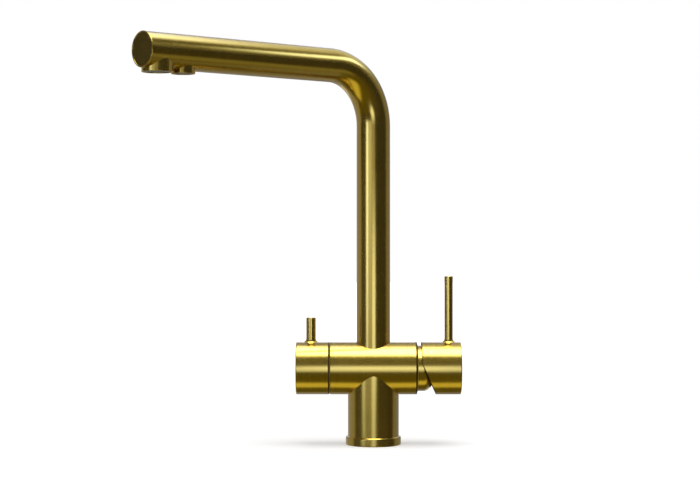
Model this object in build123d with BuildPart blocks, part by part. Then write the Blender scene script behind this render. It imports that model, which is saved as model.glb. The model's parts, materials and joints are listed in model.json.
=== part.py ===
from build123d import *
from math import cos, radians, sin, sqrt, tan
import os

# A three way filtered water tap for a kitchen sink: one bent spout tube that swivels on a T-shaped
# body, a single-lever mixer on the right for hot and cold mains water, and a quarter-turn valve on
# the left for filtered water. The two waters never meet: filtered water has its own inner tube and
# its own outlet under the arm.
#
# Frame: origin on the deck at the spout's swivel axis, +Z up, +X to the right along the body,
# -Y towards the user. Millimetres.

os.makedirs("parts", exist_ok=True)

# ---- Fits ----
RUN = 0.05  # radial clearance of a shaft in its hole
SEAT = 0.05  # gap between two pieces of a stack that rest on each other
FREE = 0.3  # gap between curved faces that only pass each other

# ---- Spout ----
TUBE_R = 14.0  # outside radius of the spout tube
TUBE_WALL = 1.2
BEND_R = 48.0  # centreline radius of the bend
ARM_Z = 315.0  # arm's centreline above the deck
REACH = 233.5  # swivel axis to the arm's closed end
ARM_TURN = 41.0  # degrees that the arm points in front of the left-hand side
RIM_ROUND = 0.5
CAP_T = 1.5
CAP_RECESS = 0.35
CAP_CLEAR = 0.2  # closing disc to the mains outlet's collar

MAIN_OUT_R = 12.15  # mains outlet's collar
FILTER_OUT_R = 9.3
OUT_PITCH = 23.8  # mains outlet to filtered outlet
OUT_DROP = 2.5  # how far the collars stand below the tube
OUT_WALL = 1.5
AERATOR_LIP = 0.6  # aerator's face above the collar's rim
AERATOR_T = 6.0
AERATOR_WALL = 1.1
OUT_SEAL_T = 1.0
OUT_LEDGE = 1.5
OUT_SADDLE = 1.2  # collar carried on above the tube's outer skin
JET_INSET = 0.4
JET_T = 1.2
JET_LEDGE = 0.6
MESH_HOLE_R = 0.75
MESH_PITCH = 2.1

PEX_R = 4.0  # inner tube for filtered water
PEX_WALL = 1.0
ELBOW_WALL = 1.6
ELBOW_LEG = 10.0
ELBOW_STOP = 3.4  # end of the inner tube, back from the outlet's axis

# ---- Body ----
COLUMN_R = 21.3
CROSS_R = 22.0
CROSS_Z = 64.0  # axis of the cross tube above the deck
EDGE = 0.5
RING_R = 23.1
RING_H = 7.4
RING_ROUND = 1.7
RING_FOOT_ROUND = 0.8
SEAL_H = 2.6
SEAL_MARGIN = 1.5

# ---- Inlet block in the foot of the column ----
BLOCK_BOTTOM = 1.5
BLOCK_H = 18.5
SKIRT_WALL = 1.65
PORT_R = 4.5  # plain radius of an M10 x 1 hose thread
PORT_DEPTH = 10.0
PORT_CIRCLE_R = 9.4
PORT_TURN = 61.0  # hot and cold ports, degrees either side of +X
PORT_WALL = 1.5
STUD_R = 3.4  # plain radius of an M8 stud thread
STUD_DEPTH = 12.0
WAY_R = 2.0  # waterways
SEAL_WIRE = 1.0
SEAL_LAND = 0.5  # waterway to the seal's groove in the block
SKIRT_BELOW = 0.5  # skirt below the block
BLOCK_SCREW_R = 2.0
BLOCK_SCREW_HEAD_R = 3.5
BLOCK_SCREW_HEAD_H = 4.0
BLOCK_SCREW_GRIP = 8.0
BLOCK_SCREW_TURN = 120.0
HEX_KEY = 2.5  # across flats of every small key socket

# ---- Spout socket and swivel foot ----
SOCKET_FLOOR = 54.0
WASHER_T = 1.2
GROOVE_DEPTH = 1.4
FOOT_TOP = 78.6
SPIGOT_H = 8.0
LOCK_Z = 57.3
LOCK_R = 2.45
LOCK_TIP_R = 1.0
LOCK_TIP_REACH = 1.2
LOCK_INSET = 1.0
MIXED_Z_UP = 7.0  # mixed water crosses this far above the cross axis
RING_GROOVE_W = 1.8
WATER_GROOVE_W = 3.6
FOOT_LAND = 0.8
FOOT_WALL = 1.4
NIPPLE_BORE_R = 1.8
NIPPLE_H = 14.0
FOOT_WAYS = 6
FOOT_WAY_R = 1.4

# ---- Mixer cartridge, a stack along +X from the pocket's floor ----
SOCKET_WALL = 3.0  # body between the socket and either pocket
POCKET_DEPTH = 19.2
NUT_WALL = 3.0  # body outside the nut's thread
NUT_THREAD = 1.3
NUT_THREAD_L = 7.5
CART_FLANGE_T = 1.6
CART_PLUG_T = 1.8
CART_SEAL_LAND = 0.4  # waterway to the seal's groove in the cartridge
CART_WALL = 1.4
FIXED_DISC_T = 3.2
MOVING_DISC_T = 2.8
CARRIER_T = 1.6
CARRIER_BOSS = 9.0
CARRIER_BOSS_H = 4.0
CARRIER_LIP = 1.12  # carrier's boss inside the turret's flange
CARRIER_STEP = 1.0  # carrier's plate inside the moving disc's rim
TURRET_STEP = 4.95  # cartridge's cavity to the turret's neck
TURRET_FLANGE_T = 1.6
TURRET_L = 9.1
TURRET_RING_UP = 0.4  # turret's ring groove above the top plate
TOP_PLATE_T = 1.6
NECK_WALL = 2.1
NECK_L = 5.3
NUT_LIP_T = 1.6
NUT_HEX_WALL = 1.55  # hexagon's flats outside its bore
NUT_HEX_L = 4.1
CART_WAY_SIDE_IN = 7.75  # cavity's side to the centres of the hot and cold ways
CART_WAY_FOOT_IN = 6.95  # cavity's underside to the same centres
MIX_WAY_R = 2.5

# ---- Mixer's rocking stem and handle ----
PIVOT_OUT = 1.5  # pivot pin beyond the body's end
STEM_TILT = 12.0  # stem above the cross axis with the water off
FLOW_TURN = 24.0  # lever's full travel
STEM_W = 8.0
STEM_ARM = 8.5
STEM_BALL_R = 2.4
STEM_L = 24.0
STEM_BACK = 3.5  # square part of the stem behind the pivot pin
PIN_R = 1.5
PIN_INSET = 1.0  # pin's ends below the turret's skin
DOME_CLEAR = 0.9  # dome to the handle's inside
DOME_T = 1.4
DOME_STRAIGHT = 5.0
DOME_ROUND = 8.0
DOME_LIP_IN = 0.9
HANDLE_GAP = 3.75  # body's end to the handle's rim
HANDLE_END = 36.8  # body's end to the handle's end
HANDLE_WALL = 2.0
HANDLE_HUB = 17.3
HANDLE_ROUND = 0.8
CUT_TOP_UP = 5.1  # where the slanted cut leaves the rim, above the cross axis
CUT_SLANT = 24.0
CUT_ROUND = 10.0
LEVER_R = 3.5
LEVER_FROM_END = 10.2
LEVER_TOP = 77.0  # above the cross axis
LEVER_FOOT = 3.0
LEVER_FOOT_LAND = 0.2  # straight part of either lever's foot
GRUB_INTO_HUB = 4.0  # hub's face to the grub screw's axis
LEVER_SCREW_R = 2.5
LEVER_SCREW_L = 9.0
GRUB_R = 2.4
GRUB_L = 8.0
PLUG_R = 3.0
PLUG_T = 3.5

# ---- Filter valve, a stack along -X from the left pocket's floor ----
HEAD_R = 10.45
HEAD_THREAD_L = 5.5
HEAD_SKIRT_R = 9.2
HEAD_MOUTH_WALL = 4.0
HEAD_MOUTH_DEPTH = 5.5
HEAD_HEX = 19.0
HEAD_HEX_L = 5.0
HEAD_NECK_R = 6.6
HEAD_NECK_L = 3.0
HEAD_SHOULDER_R = 12.8
HEAD_SHOULDER_T = 1.5
GASKET_T = 1.0
LIP_SEAL_T = 2.0
VALVE_DISC_R = 8.0
VALVE_DISC_T = 3.0
CHAMBER_WAY_PAST = 0.7  # filtered way's centre beyond the fixed disc
SPINDLE_R = 4.0
SPINDLE_RING_IN = 3.0  # hexagon's end to the spindle's ring groove
SPINDLE_RING_DEPTH = 1.0
VALVE_WAY_AT = 3.6  # radius that the discs' ways lie on
WINDOW_R = 1.2
SPINDLE_FLANGE_T = 3.0
SPINDLE_FLAT = 0.8
KNOB_GAP = 0.6
KNOB_L = 27.7
KNOB_WALL = 4.5
KNOB_HUB = 19.0
KNOB_GRIP = 8.5  # spindle inside the hub
KNOB_ROUND = 0.8
FILTER_LEVER_R = 4.0
FILTER_LEVER_TOP = 42.4
FILTER_LEVER_FROM_END = 12.5
FILTER_LEVER_FOOT = 3.0

CUT_PAST = 5.0  # cutting shapes run this far past what they cut

# ---- Worked out from the above ----
SOCKET_R = TUBE_R + FREE
POCKET_FLOOR = SOCKET_R + SOCKET_WALL
BODY_HALF = POCKET_FLOOR + POCKET_DEPTH
NUT_R = CROSS_R - NUT_WALL - RUN
POCKET_R = NUT_R - NUT_THREAD
CART_R = POCKET_R - FREE
CAVITY = CART_R - CART_WALL
CART_WAY_Y = CAVITY - CART_WAY_SIDE_IN
CART_WAY_DROP = CAVITY - CART_WAY_FOOT_IN
TURRET_R = CAVITY - TURRET_STEP
DOME_R = CROSS_R - HANDLE_WALL - DOME_CLEAR
HEAD_MOUTH_R = CROSS_R - HEAD_MOUTH_WALL
PORT_X =PORT_CIRCLE_R * cos(radians(PORT_TURN))
PORT_Y = PORT_CIRCLE_R * sin(radians(PORT_TURN))
BLOCK_R = PORT_CIRCLE_R + PORT_R + PORT_WALL
BLOCK_TOP = BLOCK_BOTTOM + BLOCK_H
STUD_X = BLOCK_R - PORT_WALL - STUD_R
SKIRT_BOTTOM = BLOCK_BOTTOM - SKIRT_BELOW
SKIRT_R = BLOCK_R + RUN + SKIRT_WALL
FILTER_Z = CROSS_Z
MIXED_Z = CROSS_Z + MIXED_Z_UP
PIVOT_X = BODY_HALF + PIVOT_OUT

ABOUT_X = Axis((0, 0, CROSS_Z), (1, 0, 0))
RIGHT = Plane(origin=(0, 0, CROSS_Z), x_dir=(1, 0, 0), z_dir=(0, -1, 0))
LEFT = Plane(origin=(0, 0, CROSS_Z), x_dir=(-1, 0, 0), z_dir=(0, 1, 0))
CROSS_END = Plane(origin=(0, 0, CROSS_Z), x_dir=(0, 1, 0), z_dir=(1, 0, 0))
STEM = Plane(
    origin=(PIVOT_X, 0, CROSS_Z),
    x_dir=(cos(radians(STEM_TILT)), 0, sin(radians(STEM_TILT))),
    z_dir=(0, -1, 0),
)
ARM_DIR = Vector(-cos(radians(ARM_TURN)), -sin(radians(ARM_TURN)), 0)
ARM = Plane(origin=(0, 0, 0), x_dir=ARM_DIR, z_dir=ARM_DIR.cross(Vector(0, 0, 1)))

pieces = {}


def band(u0, u1, r0, r1):
    """Draw u0 to u1 along a section's first axis and r0 to r1 along its second."""
    with Locations(((u0 + u1) / 2, (r0 + r1) / 2)):
        Rectangle(u1 - u0, r1 - r0)


def drill(start, end, radius):
    """Cut a round hole whose centreline runs from start to end."""
    way = Vector(*end) - Vector(*start)
    with Locations(Plane(origin=start, z_dir=way)):
        Cylinder(radius, way.length, align=(Align.CENTER, Align.CENTER, Align.MIN), mode=Mode.SUBTRACT)


def key_socket(plane, across, depth):
    """Cut a hexagonal key socket into the face that lies on the plane."""
    with BuildSketch(plane) as socket:
        RegularPolygon(across / 2, 6, major_radius=False)
    extrude(to_extrude=socket.sketch, amount=-depth, mode=Mode.SUBTRACT)


# ======================= Body =======================
WAY_IN_Z = CROSS_Z - CART_WAY_DROP
ELBOW_Z = WAY_IN_Z - (POCKET_FLOOR - PORT_X)
CHAMBER_R = HEAD_R + RUN
CHAMBER_WAY_V = POCKET_FLOOR + LIP_SEAL_T + VALVE_DISC_T + CHAMBER_WAY_PAST
SCREW_CIRCLE_R = BLOCK_R - PORT_WALL - BLOCK_SCREW_HEAD_R
MOUTH_V = BODY_HALF - HEAD_MOUTH_DEPTH

with BuildPart() as tap_body:
    with BuildSketch(Plane.XY.offset(RING_H)):
        Circle(COLUMN_R)
    extrude(amount=CROSS_Z - RING_H)
    with BuildSketch(CROSS_END.offset(-BODY_HALF)):
        Circle(CROSS_R)
    extrude(amount=2 * BODY_HALF)
    end_faces = tap_body.faces().filter_by(Axis.X).sort_by(Axis.X)
    chamfer(end_faces[0].edges() + end_faces[-1].edges(), EDGE)
    # skirt that registers in the base ring, and the inlet block's bore inside it
    with BuildSketch(Plane.XY.offset(SKIRT_BOTTOM)):
        Circle(SKIRT_R)
    extrude(amount=RING_H - SKIRT_BOTTOM)
    with BuildSketch(Plane.XY.offset(SKIRT_BOTTOM)):
        Circle(BLOCK_R + RUN)
    extrude(amount=BLOCK_TOP + SEAT - SKIRT_BOTTOM, mode=Mode.SUBTRACT)
    # socket for the spout's swivel foot
    with BuildSketch(Plane.XY.offset(SOCKET_FLOOR)):
        Circle(SOCKET_R)
    extrude(amount=CROSS_Z + CROSS_R - SOCKET_FLOOR, mode=Mode.SUBTRACT)
    # mixer pocket with the nut's thread at its mouth
    with BuildSketch(RIGHT):
        band(POCKET_FLOOR, BODY_HALF, 0, POCKET_R)
        band(BODY_HALF - NUT_THREAD_L, BODY_HALF, 0, NUT_R + RUN)
    revolve(axis=ABOUT_X, mode=Mode.SUBTRACT)
    # filter valve's chamber and mouth
    with BuildSketch(LEFT):
        band(POCKET_FLOOR, BODY_HALF, 0, CHAMBER_R)
        band(MOUTH_V, BODY_HALF, 0, HEAD_MOUTH_R)
    revolve(axis=ABOUT_X, mode=Mode.SUBTRACT)
    # hot and cold: up from the block, then at 45 degrees into the mixer pocket's floor
    for side in (-1, 1):
        drill((PORT_X, side * PORT_Y, BLOCK_TOP), (PORT_X, side * PORT_Y, ELBOW_Z + WAY_R), WAY_R)
        drill(
            (PORT_X, side * PORT_Y, ELBOW_Z),
            (POCKET_FLOOR + WAY_R, side * CART_WAY_Y, WAY_IN_Z + WAY_R),
            WAY_R,
        )
    # filtered: one slanted drilling into the valve's chamber
    drill((-PORT_CIRCLE_R, 0, BLOCK_TOP), (-CHAMBER_WAY_V, 0, CROSS_Z - CHAMBER_R + WAY_R), WAY_R)
    # the two crossings into the spout socket
    drill((POCKET_FLOOR + 1, 0, MIXED_Z), (SOCKET_R - 2, 0, MIXED_Z), MIX_WAY_R)
    drill((-POCKET_FLOOR - 1, 0, FILTER_Z), (2 - SOCKET_R, 0, FILTER_Z), WAY_R)
    # screws that hold the inlet block, and the screw that keeps the spout in
    for side in (-1, 1):
        turn = radians(side * BLOCK_SCREW_TURN)
        at = (SCREW_CIRCLE_R * cos(turn), SCREW_CIRCLE_R * sin(turn))
        drill((*at, BLOCK_TOP), (*at, BLOCK_TOP + BLOCK_SCREW_GRIP + FREE), BLOCK_SCREW_R + RUN)
    drill((0, COLUMN_R + CROSS_R, LOCK_Z), (0, SOCKET_R - 1, LOCK_Z), LOCK_R + RUN)
pieces["tap_body"] = tap_body

with BuildPart() as base_ring:
    with BuildSketch(Plane.XZ):
        band(SKIRT_R + RUN, RING_R, 0, RING_H)
    revolve(axis=Axis.Z)
    outer = base_ring.edges().filter_by(GeomType.CIRCLE).group_by(SortBy.RADIUS)[-1].sort_by(Axis.Z)
    fillet(outer[-1], min(RING_ROUND, RING_R - COLUMN_R - 0.05))
    fillet(base_ring.edges().filter_by(GeomType.CIRCLE).sort_by(Axis.Z).group_by(Axis.Z)[0].sort_by(
        SortBy.RADIUS)[-1], RING_FOOT_ROUND)
    with BuildSketch(Plane.XZ):
        band(SKIRT_R + RUN + SEAL_MARGIN, RING_R - SEAL_MARGIN, 0, SEAL_H)
    revolve(axis=Axis.Z, mode=Mode.SUBTRACT)
pieces["base_ring"] = base_ring

with BuildPart() as base_seal:
    with BuildSketch(Plane.XZ):
        band(SKIRT_R + 2 * RUN + SEAL_MARGIN, RING_R - SEAL_MARGIN - RUN, 0, SEAL_H - SEAT)
    revolve(axis=Axis.Z)
pieces["base_seal"] = base_seal

# ======================= Inlet block =======================
PORTS = [
    (PORT_X, PORT_Y),
    (PORT_X, -PORT_Y),
    (-PORT_CIRCLE_R, 0),
]
SEAL_IN = WAY_R + SEAL_LAND
SEAL_OUT = SEAL_IN + 2 * SEAL_WIRE

with BuildPart() as inlet_block:
    with BuildSketch(Plane.XY.offset(BLOCK_BOTTOM)):
        Circle(BLOCK_R)
    extrude(amount=BLOCK_H)
    chamfer(inlet_block.edges().filter_by(GeomType.CIRCLE).sort_by(Axis.Z)[0], EDGE)
    with Locations([(x, y, BLOCK_BOTTOM) for x, y in PORTS]):
        Cylinder(PORT_R, PORT_DEPTH, align=(Align.CENTER, Align.CENTER, Align.MIN), mode=Mode.SUBTRACT)
        Cylinder(WAY_R, BLOCK_H, align=(Align.CENTER, Align.CENTER, Align.MIN), mode=Mode.SUBTRACT)
    with Locations((STUD_X, 0, BLOCK_BOTTOM)):
        Cylinder(STUD_R, STUD_DEPTH, align=(Align.CENTER, Align.CENTER, Align.MIN), mode=Mode.SUBTRACT)
    with Locations(Plane.XY.offset(BLOCK_BOTTOM)):
        with PolarLocations(SCREW_CIRCLE_R, 2, BLOCK_SCREW_TURN, 360 - 2 * BLOCK_SCREW_TURN, endpoint=True):
            Cylinder(BLOCK_SCREW_R + RUN, BLOCK_H, align=(Align.CENTER, Align.CENTER, Align.MIN),
                     mode=Mode.SUBTRACT)
            Cylinder(BLOCK_SCREW_HEAD_R + RUN, BLOCK_SCREW_HEAD_H,
                     align=(Align.CENTER, Align.CENTER, Align.MIN), mode=Mode.SUBTRACT)
    with BuildSketch(Plane.XY.offset(BLOCK_TOP)):
        with Locations(PORTS):
            Circle(SEAL_OUT)
            Circle(SEAL_IN, mode=Mode.SUBTRACT)
    extrude(amount=-SEAL_WIRE, mode=Mode.SUBTRACT)
pieces["inlet_block"] = inlet_block

with BuildPart() as inlet_seals:
    with BuildSketch(Plane.XY.offset(BLOCK_TOP - SEAL_WIRE + SEAT)):
        with Locations(PORTS):
            Circle(SEAL_OUT - RUN)
            Circle(SEAL_IN + RUN, mode=Mode.SUBTRACT)
    extrude(amount=SEAL_WIRE - SEAT)
pieces["inlet_seals"] = inlet_seals

with BuildPart() as block_screws:
    with BuildSketch(Plane.XY.offset(BLOCK_BOTTOM)):
        with PolarLocations(SCREW_CIRCLE_R, 2, BLOCK_SCREW_TURN, 360 - 2 * BLOCK_SCREW_TURN, endpoint=True):
            Circle(BLOCK_SCREW_HEAD_R)
            RegularPolygon(HEX_KEY / 2, 6, major_radius=False, mode=Mode.SUBTRACT)
    extrude(amount=BLOCK_SCREW_HEAD_H - SEAT)
    with BuildSketch(Plane.XY.offset(BLOCK_BOTTOM + BLOCK_SCREW_HEAD_H / 2)):
        with PolarLocations(SCREW_CIRCLE_R, 2, BLOCK_SCREW_TURN, 360 - 2 * BLOCK_SCREW_TURN, endpoint=True):
            Circle(BLOCK_SCREW_R)
    extrude(amount=BLOCK_H - BLOCK_SCREW_HEAD_H / 2 + BLOCK_SCREW_GRIP)
pieces["block_screws"] = block_screws

# ======================= Spout socket pieces =======================
GROOVE_R = TUBE_R - GROOVE_DEPTH
FOOT_BOTTOM = SOCKET_FLOOR + WASHER_T + SEAT

with BuildPart() as thrust_washer:
    with BuildSketch(Plane.XZ):
        band(PEX_R, SOCKET_R - RUN, SOCKET_FLOOR, SOCKET_FLOOR + WASHER_T)
    revolve(axis=Axis.Z)
pieces["thrust_washer"] = thrust_washer

LOCK_OUT = COLUMN_R - LOCK_INSET
with BuildPart() as spout_lock_screw:
    with BuildSketch(Plane.XZ.offset(-LOCK_OUT)):
        with Locations((0, LOCK_Z)):
            Circle(LOCK_R)
    extrude(amount=LOCK_OUT - SOCKET_R - FREE)
    with BuildSketch(Plane.XZ.offset(-LOCK_OUT)):
        with Locations((0, LOCK_Z)):
            Circle(LOCK_TIP_R)
    extrude(amount=LOCK_OUT - SOCKET_R + LOCK_TIP_REACH)
    key_socket(Plane(origin=(0, LOCK_OUT, LOCK_Z), z_dir=(0, 1, 0)), HEX_KEY, 2.0)
pieces["spout_lock_screw"] = spout_lock_screw

# ======================= Swivel foot and its rings =======================
LOCK_GROOVE = (LOCK_Z - LOCK_TIP_R - 0.1, LOCK_Z + LOCK_TIP_R + 0.1)
FILTER_GROOVE = (FILTER_Z - WATER_GROOVE_W / 2, FILTER_Z + WATER_GROOVE_W / 2)
MIXED_GROOVE = (MIXED_Z - WATER_GROOVE_W / 2, MIXED_Z + WATER_GROOVE_W / 2)
RING_GROOVES = [
    (FILTER_GROOVE[0] - FOOT_LAND - RING_GROOVE_W, FILTER_GROOVE[0] - FOOT_LAND),
    (FILTER_GROOVE[1] + FOOT_LAND, FILTER_GROOVE[1] + FOOT_LAND + RING_GROOVE_W),
    (MIXED_GROOVE[1] + FOOT_LAND, MIXED_GROOVE[1] + FOOT_LAND + RING_GROOVE_W),
]
GLIDE_GROOVE = (RING_GROOVES[2][1] + FOOT_LAND, FOOT_TOP - 0.2)
SPIGOT_R = TUBE_R - TUBE_WALL - RUN
NIPPLE_R = PEX_R - PEX_WALL - RUN
CAVITY_R = GROOVE_R - FOOT_WALL
CAVITY_FLOOR = MIXED_GROOVE[0] + 0.3

with BuildPart() as swivel_foot:
    with BuildSketch(Plane.XZ):
        band(0, TUBE_R, FOOT_BOTTOM, FOOT_TOP)
        band(0, SPIGOT_R, FOOT_TOP, FOOT_TOP + SPIGOT_H)
    revolve(axis=Axis.Z)
    with BuildSketch(Plane.XZ):
        band(GROOVE_R, TUBE_R, *LOCK_GROOVE)
        band(GROOVE_R, TUBE_R, *FILTER_GROOVE)
        band(GROOVE_R, TUBE_R, *MIXED_GROOVE)
        for groove in RING_GROOVES:
            band(GROOVE_R, TUBE_R, *groove)
        band(GROOVE_R, TUBE_R, *GLIDE_GROOVE)
        band(NIPPLE_R, CAVITY_R, CAVITY_FLOOR, FOOT_TOP + SPIGOT_H)
    revolve(axis=Axis.Z, mode=Mode.SUBTRACT)
    with BuildSketch(Plane.XZ):
        band(0, NIPPLE_R, CAVITY_FLOOR, FOOT_TOP + NIPPLE_H)
    revolve(axis=Axis.Z)
    with BuildSketch(Plane.XZ):
        band(0, NIPPLE_BORE_R, FILTER_Z - FOOT_WAY_R, FOOT_TOP + NIPPLE_H)
    revolve(axis=Axis.Z, mode=Mode.SUBTRACT)
    # ways from the two water grooves: the filtered ones reach the nipple, the mixed ones the cavity
    for step in range(FOOT_WAYS):
        turn = radians(step * 360 / FOOT_WAYS)
        out = Vector(cos(turn), sin(turn), 0)
        drill(out * GROOVE_R + Vector(0, 0, FILTER_Z), out * NIPPLE_BORE_R * 0.5 + Vector(0, 0, FILTER_Z),
              FOOT_WAY_R)
        drill(out * GROOVE_R + Vector(0, 0, MIXED_Z), out * (CAVITY_R - 1) + Vector(0, 0, MIXED_Z),
              FOOT_WAY_R)
pieces["swivel_foot"] = swivel_foot

with BuildPart() as swivel_orings:
    with BuildSketch(Plane.XZ):
        for low, high in RING_GROOVES:
            with Locations(((GROOVE_R + SOCKET_R) / 2, (low + high) / 2)):
                Circle((SOCKET_R - GROOVE_R) / 2 - RUN)
    revolve(axis=Axis.Z)
pieces["swivel_orings"] = swivel_orings

with BuildPart() as glide_ring:
    with BuildSketch(Plane.XZ):
        band(GROOVE_R + RUN, SOCKET_R - RUN, GLIDE_GROOVE[0] + RUN, GLIDE_GROOVE[1] - RUN)
    revolve(axis=Axis.Z)
    # the split that lets it snap into its groove
    with Locations((SOCKET_R, 0, FOOT_TOP)):
        Box(2 * GROOVE_DEPTH + 2, 1.2, 4 * FOOT_LAND + WATER_GROOVE_W, mode=Mode.SUBTRACT)
pieces["glide_ring"] = glide_ring

# ======================= Spout tube =======================
BORE_R = TUBE_R - TUBE_WALL
MAIN_AT = REACH - CAP_RECESS - CAP_T - CAP_CLEAR - MAIN_OUT_R
FILTER_AT = MAIN_AT - OUT_PITCH
OUT_FACE = ARM_Z - TUBE_R - OUT_DROP
SHELL_LOW = OUT_FACE + AERATOR_LIP
SHELL_TOP = SHELL_LOW + AERATOR_T
LEDGE_Z = SHELL_TOP + OUT_SEAL_T

with BuildPart() as spout_tube:
    with BuildLine(ARM) as route:
        riser = Line((0, FOOT_TOP + SEAT), (0, ARM_Z - BEND_R))
        bend = JernArc(riser @ 1, riser % 1, BEND_R, -90)
        Line(bend @ 1, (REACH, ARM_Z))
    with BuildSketch(Plane.XY.offset(FOOT_TOP + SEAT)):
        Circle(TUBE_R)
        Circle(BORE_R, mode=Mode.SUBTRACT)
    sweep(path=route.line)
    rim = spout_tube.faces().filter_by(GeomType.PLANE).sort_by(Axis.Z)[-1]
    fillet(rim.edges(), RIM_ROUND)
    for at, radius in ((MAIN_AT, MAIN_OUT_R), (FILTER_AT, FILTER_OUT_R)):
        drill(ARM_DIR * at + Vector(0, 0, ARM_Z), ARM_DIR * at + Vector(0, 0, OUT_FACE - 1), radius + RUN)
pieces["spout_tube"] = spout_tube

with BuildPart() as end_cap:
    with BuildSketch(ARM):
        with Locations((REACH - CAP_RECESS - CAP_T / 2, ARM_Z + (BORE_R - 3 * RUN) / 2)):
            Rectangle(CAP_T, BORE_R - 3 * RUN)
    revolve(axis=Axis((0, 0, ARM_Z), ARM_DIR))
    chamfer(end_cap.edges().filter_by(GeomType.CIRCLE), 0.25)
pieces["end_cap"] = end_cap


def outlet(at, radius):
    """Make one outlet: its collar, the aerator's shell, the jet plate with its holes and the seal."""
    axis = Axis(ARM_DIR * at, (0, 0, 1))
    section = Plane(origin=ARM_DIR * at, x_dir=ARM_DIR, z_dir=ARM.z_dir)
    shell_r = radius - OUT_WALL
    jet_r = shell_r - RUN - AERATOR_WALL
    over_skin = ARM_Z - sqrt(TUBE_R**2 - radius**2) + OUT_SADDLE
    top = max(over_skin, LEDGE_Z + OUT_LEDGE)
    with BuildPart() as collar:
        with BuildSketch(section):
            band(shell_r, radius, OUT_FACE, top)
            band(shell_r - AERATOR_WALL, radius, LEDGE_Z, top)
        revolve(axis=axis)
        rims = collar.faces().sort_by(Axis.Z)[0].edges()
        fillet(rims, 0.3)
    with BuildPart() as shell:
        with BuildSketch(section):
            band(jet_r, shell_r - RUN, SHELL_LOW, SHELL_TOP)
            band(jet_r - JET_LEDGE, shell_r - RUN, SHELL_LOW + JET_INSET + JET_T + SEAT, SHELL_TOP)
        revolve(axis=axis)
    with BuildPart() as jets:
        with BuildSketch(Plane(origin=ARM_DIR * at + Vector(0, 0, SHELL_LOW + JET_INSET), x_dir=ARM_DIR)):
            Circle(jet_r - RUN)
            with Locations(hex_grid(MESH_PITCH, jet_r - JET_LEDGE - MESH_HOLE_R)):
                Circle(MESH_HOLE_R, mode=Mode.SUBTRACT)
        extrude(amount=JET_T)
    with BuildPart() as seal:
        with BuildSketch(section):
            band(shell_r - AERATOR_WALL, shell_r - RUN, SHELL_TOP + SEAT, LEDGE_Z - SEAT)
        revolve(axis=axis)
    return collar, shell, jets, seal


def hex_grid(pitch, limit):
    """Centres of a triangular pattern, as many as fit inside the limit radius."""
    centres = []
    rows = int(limit / pitch) + 1
    for row in range(-2 * rows, 2 * rows + 1):
        for column in range(-2 * rows, 2 * rows + 1):
            x = (column + row / 2) * pitch
            y = row * pitch * sqrt(3) / 2
            if sqrt(x * x + y * y) < limit:
                centres.append((x, y))
    return centres


for name, at, radius in (("main", MAIN_AT, MAIN_OUT_R), ("filter", FILTER_AT, FILTER_OUT_R)):
    collar, shell, jets, seal = outlet(at, radius)
    pieces[f"{name}_collar"] = collar
    pieces[f"{name}_aerator_shell"] = shell
    pieces[f"{name}_aerator_jets"] = jets
    pieces[f"{name}_aerator_seal"] = seal

with BuildPart() as filter_tube:
    with BuildLine(ARM) as inner_route:
        rise = Line((0, FOOT_TOP + NIPPLE_H / 4), (0, ARM_Z - BEND_R))
        turn_over = JernArc(rise @ 1, rise % 1, BEND_R, -90)
        Line(turn_over @ 1, (FILTER_AT - ELBOW_STOP, ARM_Z))
    with BuildSketch(Plane.XY.offset(FOOT_TOP + NIPPLE_H / 4)):
        Circle(PEX_R)
        Circle(PEX_R - PEX_WALL, mode=Mode.SUBTRACT)
    sweep(path=inner_route.line)
pieces["filter_tube"] = filter_tube

ELBOW_SPIGOT_R = FILTER_OUT_R - OUT_WALL - AERATOR_WALL - RUN
with BuildPart() as filter_elbow:
    barrel_r = PEX_R + ELBOW_WALL
    with BuildSketch(Plane(origin=ARM_DIR * FILTER_AT, x_dir=ARM_DIR, z_dir=ARM.z_dir)):
        band(0, ELBOW_SPIGOT_R, LEDGE_Z + SEAT, ARM_Z + barrel_r + ELBOW_WALL / 2)
    revolve(axis=Axis(ARM_DIR * FILTER_AT, (0, 0, 1)))
    fillet(filter_elbow.edges().filter_by(GeomType.CIRCLE).sort_by(Axis.Z)[-1], ELBOW_WALL)
    with BuildSketch(ARM):
        with Locations((FILTER_AT - ELBOW_LEG / 2, ARM_Z + barrel_r / 2)):
            Rectangle(ELBOW_LEG, barrel_r)
    revolve(axis=Axis((0, 0, ARM_Z), ARM_DIR))
    inner_end = ARM_DIR * (FILTER_AT - ELBOW_STOP + SEAT) + Vector(0, 0, ARM_Z)
    centre = ARM_DIR * FILTER_AT + Vector(0, 0, ARM_Z)
    drill(ARM_DIR * (FILTER_AT - ELBOW_LEG) + Vector(0, 0, ARM_Z), inner_end, PEX_R + RUN)
    drill(inner_end, centre, PEX_R - PEX_WALL)
    drill(centre + Vector(0, 0, PEX_R - PEX_WALL), ARM_DIR * FILTER_AT + Vector(0, 0, OUT_FACE),
          PEX_R - PEX_WALL + FREE)
pieces["filter_elbow"] = filter_elbow

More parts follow.
